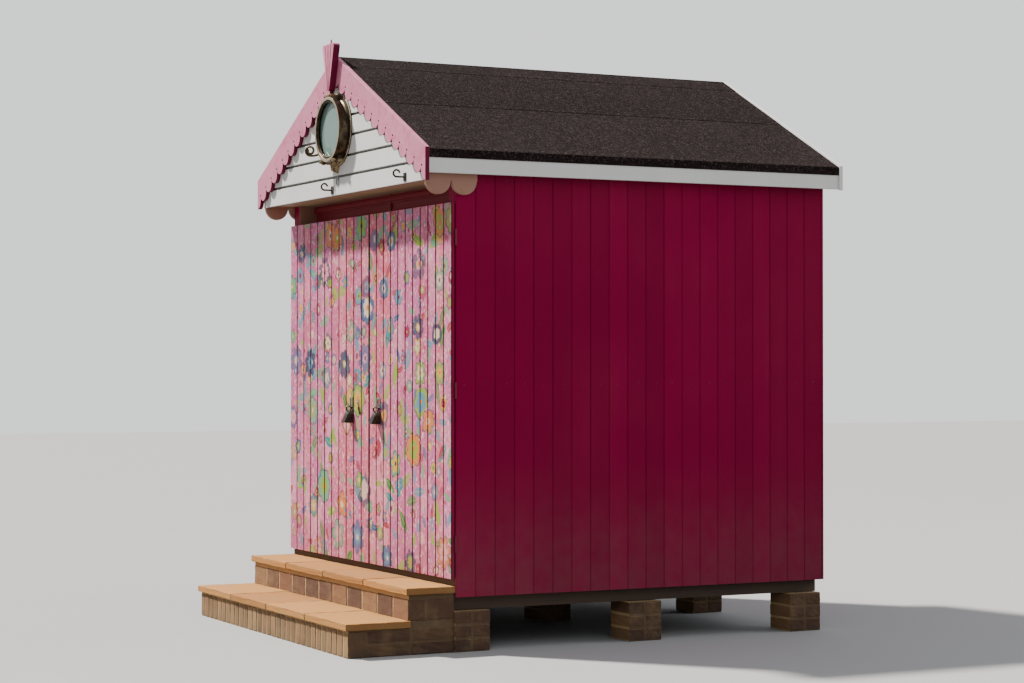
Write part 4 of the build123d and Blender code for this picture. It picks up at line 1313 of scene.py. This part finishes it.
for name, side in (("left", -1), ("right", 1)):
    sheet = f"{name}_roof_boards"
    low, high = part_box(sheet)
    ridge_levels = [c.z for c in corners(sheet) if abs(c.x) < 0.001]
    under = min(ridge_levels)
    eaves = min(corners(sheet), key=lambda c: c.z)
    slope = math.atan2(under - eaves.z, abs(eaves.x))
    thick = (max(ridge_levels) - under) * math.cos(slope)
    down = Vector((side * math.cos(slope), 0, -math.sin(slope)))
    outward = Vector((side * math.sin(slope), 0, math.cos(slope)))
    turn = Matrix((down, outward, down.cross(outward))).transposed().to_4x4()
    unit = pushed("roof_board", vee_section(ROOF_BOARD, thick + SPARE, ROOF_VEE),
                  high.y - low.y + 2 * SPARE, turn)
    first = Vector((0, low.y - SPARE if side < 0 else high.y + SPARE, under))
    boards = laid(f"{name}_roof_planks", unit, roof_timber,
                  start=first + outward * 0.0003, step=down * ROOF_BOARD,
                  across=math.ceil(max(high.x, -low.x) / ROOF_BOARD) + 2, seed=27 + side)
    cut_by(boards, merged_copy(sheet))
    dress(boards, "hut", "roof_timber", sheet)

# %% [markdown]
# The gable is boarded level, in white. Each board ends in a rebate at the top, which leaves
# the dark shadow line of the photograph under the board above. The boards are laid across
# the whole width, cut to the triangle and then bored for the porthole.

# %% Gable boards
GABLE_BOARD = 0.116
REBATE = 0.012
BORE_RADIUS = 0.17
low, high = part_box("gable_panel")
depth = high.y - low.y
board_top = GABLE_BOARD - HAIR
section = [(0, 0.003), (0.003, 0), (GABLE_BOARD - 0.0165, 0),
           (GABLE_BOARD - 0.0150, 0.0015), (GABLE_BOARD - 0.0135, REBATE),
           (board_top, REBATE), (board_top, depth), (0, depth)]
lay_level = Matrix(((0, 0, 1, 0), (0, 1, 0, 0), (1, 0, 0, 0), (0, 0, 0, 1)))
unit = pushed("gable_board", section, high.x - low.x, lay_level)
gable = laid("gable_boards", unit, gable_white, start=(low.x, low.y, low.z),
             rise=(0, 0, GABLE_BOARD), courses=math.ceil((high.z - low.z) / GABLE_BOARD),
             slip=(0, 0.0005, 0), seed=31)
cut_by(gable, gable_prism("gable_cutter", "gable_panel"))
bore = bpy.data.meshes.new("bore")
with reworked(bore, outward=False) as work:
    bmesh.ops.create_cone(work, cap_ends=True, segments=64, radius1=BORE_RADIUS,
                          radius2=BORE_RADIUS, depth=0.2,
                          matrix=Matrix.Translation((0, low.y, PORT_Z)) @ FACE_FRONT)
cut_by(gable, bore, "DIFFERENCE")
dress(gable, "hut", "white_paint", "gable_panel")

# %% [markdown]
# Behind the bricks' faces the mass of the steps is mortar and rubble, so copies of the
# model's own blocks serve as the mortar. They are made a little smaller, and each brick's
# face stands a few millimetres out of them.

# %% Mortar
def shrunk_mortar(name, *node_names, inset=0.0026):
    """Mortar cores a little inside the model's own brick masses, down to the ground."""
    mesh = bpy.data.meshes.new(name)
    with reworked(mesh) as work:
        for node in node_names:
            work.from_mesh(nodes[node].data)
        bmesh.ops.remove_doubles(work, verts=work.verts, dist=0.00005)
        facing = {vert: vert.normal.copy() for vert in work.verts}
        for vert in work.verts:
            push = Vector([-math.copysign(inset, n) if abs(n) > 0.2 else 0
                           for n in facing[vert]])
            push.z = min(push.z, 0) if vert.co.z > 0.001 else 0
            vert.co += push
    mesh.materials.clear()
    return linked(name, mesh, mortar)


# %% [markdown]
# A wall of bricks fills a rectangle with whole bricks. The number that fits best is worked out
# first and then the size of each brick, as a bricklayer spreads the joints, so that no wall
# ends in a sliver.

# %% A wall of bricks
JOINT = 0.012
BRICK_EASE = 0.004


def brick_wall(name, run, low, high, brick, seed):
    """Bricks over a rectangle that runs along axis 0 or 1, between two corners."""
    count = max(1, round((high[run] - low[run] + JOINT) / (brick[0] + JOINT)))
    pitch = (high[run] - low[run] + JOINT) / count
    rows = max(1, round((high[2] - low[2] + JOINT) / (brick[1] + JOINT)))
    rise = (high[2] - low[2] + JOINT) / rows
    size = [0, 0, rise - JOINT]
    size[run] = pitch - JOINT
    size[1 - run] = high[1 - run] - low[1 - run]
    start = [0, 0, low[2] + size[2] / 2]
    start[run] = low[run] + size[run] / 2
    start[1 - run] = (low[1 - run] + high[1 - run]) / 2
    step = [0, 0, 0]
    step[run] = pitch
    unit = eased_block("brick", size, BRICK_EASE, rough=0.0016, cuts=2, seed=seed)
    return laid(name, unit, brick_red, start=start, step=step, across=count,
                rise=(0, 0, rise), courses=rows, slip=(0.001, 0.001, 0.001),
                lean=(0.005, 0.005, 0.005), seed=seed)


# %% [markdown]
# Each wall has its own run of bricks, but the steps are one piece of masonry and are kept
# as one mesh. A mesh can be joined through bmesh, which keeps the tone of every brick.

# %% Joining pieces
def joined(name, pieces):
    """Several plain pieces as one, which keeps the tone of each."""
    mesh = bpy.data.meshes.new(name)
    finish = pieces[0].data.materials[0]
    with reworked(mesh, outward=False) as work:
        for piece in pieces:
            work.from_mesh(piece.data)
            bpy.data.objects.remove(piece)
    return linked(name, mesh, finish)


def pressed_back(piece):
    """Push the points that stray out of the hut's own box back to its faces."""
    for vert in piece.data.vertices:
        vert.co = [min(max(place, low), high)
                   for place, low, high in zip(vert.co, cad_low, cad_high)]
    return piece


# %% [markdown]
# The lower riser is a row of bricks on end, cut to height, and the upper one is bricks on
# edge. The lower returns are laid flat in courses and the upper ones on edge like their riser.
# One function lays the front and both ends of a step, because only the bricks differ.

# %% Brick steps
MORTAR_BED = 0.026
SKIN = 0.1025
ON_END = (0.065, 0.215)
ON_EDGE = (0.215, 0.1025)
FLAT = (0.215, 0.065)
low_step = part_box("lower_step_bricks")
high_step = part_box("upper_step_bricks")
left, _, _ = low_step[0]
right, back, _ = low_step[1]


def riser(name, front, base, top, face_brick, end_brick, seed):
    """The brick skins at the front and both ends of a step."""
    side = front + SKIN + JOINT
    walls = ((0, (left, front, base), (right, front + SKIN, top), face_brick),
             (1, (right - SKIN, side, base), (right, back, top), end_brick),
             (1, (left, side, base), (left + SKIN, back, top), end_brick))
    return joined(name, [brick_wall(f"{name}_{k}", *wall, seed + k)
                         for k, wall in enumerate(walls)])


def levels(node, axis, digits=4):
    """The places of a model piece's points along an axis, each once and in order."""
    return sorted({round(corner[axis], digits) for corner in corners(node)})


tread_levels = levels("step_slabs", 2)
lower_bricks = riser("lower_step_brickwork", low_step[0].y, 0, tread_levels[0] - JOINT * 0.8,
                     ON_END, FLAT, 41)
dress(pressed_back(lower_bricks), "hut", "brick")
upper_bricks = riser("upper_step_brickwork", high_step[0].y, high_step[0].z,
                     high_step[1].z - MORTAR_BED, ON_EDGE, ON_EDGE, 44)
dress(upper_bricks, "hut", "brick")

# %% [markdown]
# The floor stands on brick piers of three courses, two bricks to a course. Their places are
# read from the model's own piers, and each pier has its own seed, so that no two are alike.
# The mortar of the steps and the piers goes in last.

# %% Brick piers
pier_xs = levels("brick_piers", 0, 3)
pier_ys = levels("brick_piers", 1, 3)
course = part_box("brick_piers")[1].z / 3
half_bricks = []
for x0, x1 in zip(pier_xs[::2], pier_xs[1::2]):
    for y0, y1 in zip(pier_ys[::2], pier_ys[1::2]):
        seed = 50 + len(half_bricks)
        width = (y1 - y0 - JOINT) / 2
        unit = eased_block("pier_brick", (x1 - x0, width, course - JOINT), BRICK_EASE,
                           rough=0.0012, cuts=2, seed=seed)
        half_bricks.append(laid(
            f"pier_{seed}", unit, brick_red,
            start=((x0 + x1) / 2, y0 + width / 2, course / 2), step=(0, width + JOINT, 0),
            across=2, rise=(0, 0, course), courses=3, slip=(0.0008, 0.0008, 0.0005),
            lean=(0.003, 0.003, 0.004), seed=seed))
dress(pressed_back(joined("pier_brickwork", half_bricks)), "hut", "brick")

for name, masses in (("step_mortar", ("lower_step_bricks", "upper_step_bricks")),
                     ("pier_mortar", ("brick_piers",))):
    dress(shrunk_mortar(name, *masses), "hut", "brick", *masses)

# %% [markdown]
# The treads are sandy slabs, four to a step, bedded with a narrow joint. Their edges are
# eased and their faces dip a little, which the low light shows.

# %% Stone slabs
SLABS_ACROSS = 4
SLAB_JOINT = 0.006
SLAB_INSET = 0.003
slab_low, slab_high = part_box("step_slabs")
slab_ys = levels("step_slabs", 1)
pitch = (slab_high.x - slab_low.x) / SLABS_ACROSS
slab_rows = []
for index in range(2):
    under, top = tread_levels[2 * index:2 * index + 2]
    y0, y1 = slab_ys[index::2]
    unit = eased_block("slab", (pitch - SLAB_JOINT, y1 - y0 - SLAB_INSET, top - under), 0.003,
                       rough=0.0011, cuts=7, seed=61 + index)
    slab_rows.append(laid(
        f"slab_row_{index}", unit, slab_stone,
        start=(slab_low.x + pitch / 2, (y0 + y1) / 2, (top + under) / 2),
        step=(pitch, 0, 0), across=SLABS_ACROSS, slip=(0.0008, 0.001, 0.001),
        lean=(0.001, 0.001, 0.001), seed=62 + index))
dress(pressed_back(joined("tread_slabs", slab_rows)), "hut", "slab_stone", "step_slabs",
      smooth=40)

# %% [markdown]
# Planed timber and cast metal have eased edges, and the thin line of light along an edge is
# what makes a piece look solid. Each of these model pieces is copied, its flat faces are
# joined up again from their triangles, and every sharp edge is bevelled. The copy takes the
# place of the piece in the render; the piece itself is left as it is.

# %% Eased edges
def softened(node, body, slot, width, limit=35, swell=0.0, shaping=None):
    """A copy of a model piece with its sharp edges bevelled, swollen or shaped a little."""
    mesh = merged_copy(node)
    with reworked(mesh, outward=False) as work:
        bmesh.ops.dissolve_limit(work, angle_limit=math.radians(1.0), verts=work.verts,
                                 edges=work.edges)
        if shaping:
            shaping(work)
        work.normal_update()
        for vert in work.verts:
            vert.co += vert.normal * swell
    mesh.materials.clear()
    piece = linked(f"{node}_eased", mesh, finish_of[node])
    bevel = piece.modifiers.new("bevel", "BEVEL")
    bevel.width = width
    bevel.segments = 1
    bevel.limit_method = "ANGLE"
    bevel.angle_limit = math.radians(limit)
    return dress(plain(piece), body, slot, node, smooth=32)


for width, slot, names in (
        (0.0018, "pink_paint", "left_bargeboard right_bargeboard"),
        (0.002, "pink_paint", "finial"),
        (0.002, "white_paint", "rear_bargeboards eaves_fascias"),
        (0.002, "cream_paint", "return_boards"),
        (0.0015, "cream_paint", "gable_soffit"),
        (0.003, "crimson_paint", "front_posts head_rail"),
        (0.004, "frame_timber", "threshold"),
        (0.002, "frame_timber", "wall_studs side_wall_plates rear_wall_plates"),
        (0.002, "roof_timber", "rafters ridge_board"),
        (0.002, "frame_timber", "gable_tie")):
    for node in names.split():
        softened(node, "hut", slot, width)

# %% [markdown]
# The porthole's scroll and the tips of the cup hooks are round bars bent forwards. A tree
# that sweeps a section along a path bends bars better than boxes can.

# %% Bent bars
def bent_bar(name, points, radius, finish, slot):
    """A round bar on the hut that follows a row of points."""
    path = bpy.data.meshes.new(name)
    path.from_pydata(points, [(k, k + 1) for k in range(len(points) - 1)], [])
    piece = grown(name, BENT_BAR, path, finish, {"Radius": radius, "Sides": 10})
    with reworked(piece.data) as work:
        bmesh.ops.remove_doubles(work, verts=work.verts, dist=0.00001)
    dress(piece, "hut", slot, smooth=50)


SCROLL_RADIUS = 0.180
SCROLL_TURN = math.radians(46)
SCROLL_BAR = 0.0068
SCROLL_STEPS = 28
scroll_root = Vector((-SCROLL_RADIUS * math.cos(SCROLL_TURN), flange_low.y + 0.0165,
                      PORT_Z - SCROLL_RADIUS * math.sin(SCROLL_TURN)))
scroll_out = Vector((-0.62, -0.785, 0))
scroll_line = [(-0.012, 0.0), (0.035, -0.004), (0.070, -0.012)]
for step in range(SCROLL_STEPS + 1):
    turn = math.radians(-100 + 18 * step)
    radius = 0.031 - 0.018 * step / SCROLL_STEPS
    scroll_line.append((0.096 + radius * math.cos(turn), 0.018 + radius * math.sin(turn)))
bent_bar("porthole_scroll",
         [scroll_root + scroll_out * out + Vector((0, 0, up)) for out, up in scroll_line],
         SCROLL_BAR, brass_scroll, "aged_brass")

HOOK_BEND = 0.019
HOOK_ROD = 0.0045
HOOK_SWELL = 0.0009
HALF_PLATE = 0.017
hooks_low, hooks_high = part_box("gable_hooks")
hook_top = max(c.z for c in corners("gable_hooks") if abs(c.x) > 0.05)
for side, x in (("left", hooks_low.x + HALF_PLATE), ("right", hooks_high.x - HALF_PLATE)):
    bend = Vector((x, hooks_low.y + HOOK_BEND + HOOK_ROD, hook_top - HOOK_BEND - HOOK_ROD))
    turns = [math.radians(turn) for turn in range(95, 4, -10)]
    bent_bar(f"{side}_hook_tip",
             [bend + HOOK_BEND * Vector((0, math.cos(turn), math.sin(turn)))
              for turn in turns], HOOK_ROD + HOOK_SWELL, hook_metal, "black_iron")

# %% [markdown]
# The metalwork gets the same easing as the timber, but finer. The glass is set a little over
# a centimetre deeper into its ring, where the dark wall of the rebate shows beside it, and
# the hooks are made a little fatter, to meet their new tips.

# %% Metalwork
GLASS_BACK = 0.0125
SCROLL_START = 0.145
SCROLL_DROP = 0.127


def set_back(work):
    """Move the glass back inside its ring."""
    bmesh.ops.translate(work, verts=work.verts, vec=(0, GLASS_BACK, 0))


def without_scroll(work):
    """Take the flat scroll away, because a bent round bar takes its place."""
    flat = [v for v in work.verts
            if v.co.x < -SCROLL_START and abs(v.co.z - PORT_Z + SCROLL_DROP) < 0.03]
    bmesh.ops.delete(work, geom=flat, context="VERTS")


for side in ("left", "right"):
    body = f"{side}_door"
    softened(f"{side}_door_ledges", body, "frame_timber", 0.002)
    softened(f"{side}_door_hinges", body, "galvanised_steel", 0.0005)
    softened(f"{side}_door_lock", body, "black_iron", 0.0006)
softened("post_hinges", "hut", "galvanised_steel", 0.0005)
softened("gable_hooks", "hut", "black_iron", 0.0006, swell=HOOK_SWELL)
softened("porthole_flange", "hut", "aged_brass", 0.0008, limit=40)
softened("porthole_ring", "hut", "aged_brass", 0.0006, limit=50)
softened("porthole_fittings", "hut", "aged_brass", 0.0008, limit=40, shaping=without_scroll)
softened("porthole_glass", "hut", "sea_glass", 0.001, shaping=set_back)

# %% [markdown]
# Screws hold all of it. Eight slotted brass heads go round the flange by the ring tree.
# Flat steel ones fill the hinge plates, almost flush because the two halves of a closed
# hinge lie a millimetre apart, and two rows on each ledge hold the boards of the door.

# %% Screws
FLANGE_SCREWS = 8
HALF_HINGE = 0.045
PLATE_PROUD = 0.0025
PLATE_SCREW = (0.0042, 0.0003)
LEDGE_SCREW = (0.0045, 0.0006)
LEDGE_SCREWS = 10
LEDGE_MARGIN = 0.04
flange_screws = grown(
    "flange_screws", RING, screw_head(0.0062, 0.0030, FACE_FRONT), brass_worn,
    {"Count": FLANGE_SCREWS, "Centre": (0, flange_low.y + 0.0370, PORT_Z), "Radius": 0.204,
     "First": math.radians(12), "Lean": (0, 1.5, 0), "Seed": 81})
dress(flange_screws, "hut", "aged_brass", smooth=40)

hinge_levels = levels("right_door_hinges", 2)
hinge_mids = [hinge_levels[0] + HALF_HINGE, (hinge_levels[-1] + hinge_levels[0]) / 2,
              hinge_levels[-1] - HALF_HINGE]


def screw_rows(name, unit, x, y, seed, pitch=0.034, across=2, spread=0.056,
               slip=(0, 0, 0)):
    """Two rows of screws at the height of each of the three hinges."""
    return [laid(f"{name}_{index}", unit, zinc, start=(x, y, middle - spread / 2),
                 step=(pitch, 0, 0), across=across, rise=(0, 0, spread), courses=2,
                 slip=slip, seed=seed + index)
            for index, middle in enumerate(hinge_mids)]


for side, seed in (("left", 83), ("right", 87)):
    plate_low, plate_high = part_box(f"{side}_door_hinges")
    plate_x = plate_low.x + 0.018 if side == "right" else plate_high.x - 0.052
    leaf_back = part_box(f"{side}_door_boards")[1].y
    post_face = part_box("front_posts")[0].y
    ledge_low, ledge_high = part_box(f"{side}_door_ledges")
    leaf_rows = screw_rows(f"{side}_leaf", nail_head(*PLATE_SCREW, FACE_BACK), plate_x,
                           leaf_back + PLATE_PROUD, seed)
    ledge_run = ledge_high.x - ledge_low.x - 2 * LEDGE_MARGIN
    leaf_rows += screw_rows(f"{side}_ledge", nail_head(*LEDGE_SCREW, FACE_BACK),
                            ledge_low.x + LEDGE_MARGIN, ledge_high.y, seed + 10,
                            ledge_run / (LEDGE_SCREWS - 1), LEDGE_SCREWS, 0.052,
                            (0.004, 0, 0.003))
    post_rows = screw_rows(f"{side}_post", nail_head(*PLATE_SCREW, FACE_FRONT), plate_x,
                           post_face - PLATE_PROUD, seed + 5)
    dress(joined(f"{side}_door_screws", leaf_rows), f"{side}_door", "galvanised_steel",
          smooth=60)
    dress(joined(f"{side}_post_screws", post_rows), "hut", "galvanised_steel", smooth=60)

# %% [markdown]
# Inside each flared iron cover hangs a padlock made of a stack of steel plates. The stack
# is laid by the courses tree and stands a hair outside the plain body of the model.

# %% Padlocks
PLATE = (0.0386, 0.0226, 0.0059)
PLATE_PITCH = 0.0065
PLATES = 12
STACK_BACK = 0.015
STACK_FOOT = 0.0029
for side in ("left", "right"):
    low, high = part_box(f"{side}_door_lock")
    lock_x = low.x + 0.025 if side == "left" else (low.x + high.x) / 2
    stack = laid(f"{side}_padlock_plates", eased_block("padlock_plate", PLATE, 0.0008),
                 padlock_steel, start=(lock_x, high.y - STACK_BACK, low.z + STACK_FOOT),
                 rise=(0, 0, PLATE_PITCH), courses=PLATES, slip=(0.0002, 0.0002, 0),
                 seed=91)
    dress(stack, f"{side}_door", "black_iron")

# %% [markdown]
# The walls are nailed at the foot, the middle and the head of every board. The heads were
# painted over with the wall, and rust has come through on some of them since.

# %% Wall nails
NAIL_INSET = 0.035
NAIL_MARGIN = 0.09
REAR_NAIL_RISE = 1.05
WALL_NAIL = (0.0038, 0.0012)
nail_rows = []
for side, turn in (("right", 1), ("left", -1)):
    low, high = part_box(f"{side}_wall_cladding")
    unit = nail_head(*WALL_NAIL, Matrix.Rotation(turn * math.pi / 2, 4, "Y"))
    nail_rows.append(laid(
        f"{side}_wall_nails", unit, painted_iron,
        start=(high.x if turn > 0 else low.x, low.y + side_pitch / 2, low.z + NAIL_INSET),
        step=(0, side_pitch, 0), across=side_count,
        rise=(0, 0, (high.z - low.z - NAIL_MARGIN) / 2), courses=3, slip=(0, 0.012, 0.005),
        seed=93 + turn))
low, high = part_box("rear_wall_cladding")
nail_rows.append(laid("rear_wall_nails", nail_head(*WALL_NAIL, FACE_BACK), painted_iron,
                      start=(low.x + rear_pitch / 2, high.y, low.z + NAIL_INSET),
                      step=(rear_pitch, 0, 0), across=rear_count,
                      rise=(0, 0, REAR_NAIL_RISE), courses=3, slip=(0.012, 0, 0.005),
                      seed=97))
dress(joined("wall_nails", nail_rows), "hut", "crimson_paint", smooth=60)

# %% [markdown]
# Above the doors two crimson mouldings run across the header with a dark recess between
# them. Their sections are short curves pushed along X. A thin upright batten covers the
# meeting of the two header boards, with a cream bead beside it.

# %% Header mouldings
OGEE_STEPS = 7


def ogee(height, depth):
    """A moulding's section: a quarter round above a small hollow."""
    curve = [(0, 0), (0, depth * 0.45), (height * 0.18, depth * 0.45)]
    for index in range(OGEE_STEPS + 1):
        turn = math.pi / 2 * index / OGEE_STEPS
        swell = 0.5 * math.cos(turn) ** 0.8 if index < OGEE_STEPS else 0
        curve.append((height * (0.22 + 0.6 * math.sin(turn)), depth * (0.5 + swell)))
    return curve + [(height * 0.9, depth * 0.3), (height, depth * 0.3), (height, 0)]


low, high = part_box("header_panel")
half_opening = min(abs(c.x) for c in corners("front_posts"))
trim = []
for name, lift, height, depth in (("header_moulding_top", 0.082, 0.052, 0.022),
                                  ("header_moulding_bottom", 0.004, 0.040, 0.014)):
    turn = Matrix.Translation((-half_opening, low.y, low.z + lift)) @ lay_level
    outline = [(up, -out) for up, out in ogee(height, depth)]
    trim.append(linked(name, pushed(name, outline, 2 * half_opening, turn), crimson_header))
batten_low = low.z + 0.001
batten_high = high.z - 0.012
batten_middle = (batten_low + batten_high) / 2
batten = eased_block("header_batten", (0.024, 0.012, batten_high - batten_low), 0.001,
                     centre=(seam, low.y - 0.006, batten_middle))
trim.append(linked("header_batten", batten, crimson_header))
dress(joined("header_trim", trim), "hut", "crimson_paint", smooth=30)
bead = eased_block("seam_bead", (0.004, 0.004, batten_high - batten_low), 0.0008,
                   centre=(seam - 0.0125, low.y - 0.0132, batten_middle))
dress(linked("header_bead", bead, cream), "hut", "cream_paint")

# %% [markdown]
# The felt goes on in long courses, the upper one lapped over the lower one, and its edge is
# never quite straight. Each slope gets an upper sheet two and a half millimetres thick whose
# lower edge wanders by a seeded random value. Clout nails with round heads hold the laps and
# the eaves.

# %% Felt courses and nails
NAIL_STEP = 0.075
LAP_NAILS = 0.022
EAVES_NAILS = 0.03
SHEET_STEPS = 90
SHEET_START = 0.05
SHEET_INSET = 0.002
SHEET_THICKNESS = 0.0025
felt_corners = corners("right_roof_felt")
felt_low, felt_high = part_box("right_roof_felt")
eaves_top = max((c for c in felt_corners if c.x > felt_high.x - 0.03), key=lambda c: c.z)
ridge_top = max(felt_corners, key=lambda c: c.z)
fall = ridge_top.z - eaves_top.z
run = eaves_top.x - ridge_top.x
pitch_turn = math.atan2(fall, run)
slope_length = math.hypot(fall, run)
sheet_end = slope_length * 0.52


def on_slope(side, down, y, lift):
    """A point a distance down a slope from the ridge, lifted off the felt."""
    x = ridge_top.x + down * math.cos(pitch_turn) + lift * math.sin(pitch_turn)
    z = ridge_top.z - down * math.sin(pitch_turn) + lift * math.cos(pitch_turn)
    return (side * x, y, z)


def felt_sheet(name, side, seed):
    """The upper sheet of felt on a slope, with a wandering lower edge."""
    luck = random.Random(seed)
    offsets = [luck.uniform(-1, 1) for _ in range(SHEET_STEPS + 5)]
    mesh = bpy.data.meshes.new(name)
    with reworked(mesh) as work:
        rows = []
        for index in range(SHEET_STEPS + 1):
            part = index / SHEET_STEPS
            y = felt_low.y + SHEET_INSET + (felt_high.y - felt_low.y - 2 * SHEET_INSET) * part
            drift = sum(offsets[index:index + 5]) / 5
            edge = sheet_end + 0.006 * drift
            lift = SHEET_THICKNESS + 0.0010 * drift
            rows.append([work.verts.new(on_slope(side, down, y, rise)) for down, rise in (
                (SHEET_START, 0), (SHEET_START, SHEET_THICKNESS), (edge - 0.004, lift),
                (edge, lift * 0.6), (edge, 0))])
        for first, second in zip(rows, rows[1:]):
            for k in range(-1, len(first) - 1):
                work.faces.new((first[k], first[k + 1], second[k + 1], second[k]))
        work.faces.new(rows[0])
        work.faces.new(rows[-1])
    return linked(name, mesh, felt_brown)


nail_rows = []
sheets = []
for side in (-1, 1):
    sheets.append(felt_sheet(f"sheet_{side}", side, 71 + side))
    unit = nail_head(0.0050, 0.0012, Matrix.Rotation(side * pitch_turn, 4, "Y"))
    for down, lift in ((sheet_end - LAP_NAILS, 0.0024),
                       (slope_length - EAVES_NAILS, 0.0002)):
        nail_rows.append(laid(
            f"nails_{len(nail_rows)}", unit.copy(), tarred_zinc,
            start=on_slope(side, down, felt_low.y + 0.03, lift), step=(0, NAIL_STEP, 0),
            across=int((felt_high.y - felt_low.y - 0.05) / NAIL_STEP),
            slip=(0.0, 0.004, 0.0), lean=(0.04, 0.04, 0), seed=73 + side))
dress(joined("felt_courses", sheets), "hut", "roof_felt", smooth=30)
dress(joined("felt_nails", nail_rows), "hut", "galvanised_steel", smooth=60)
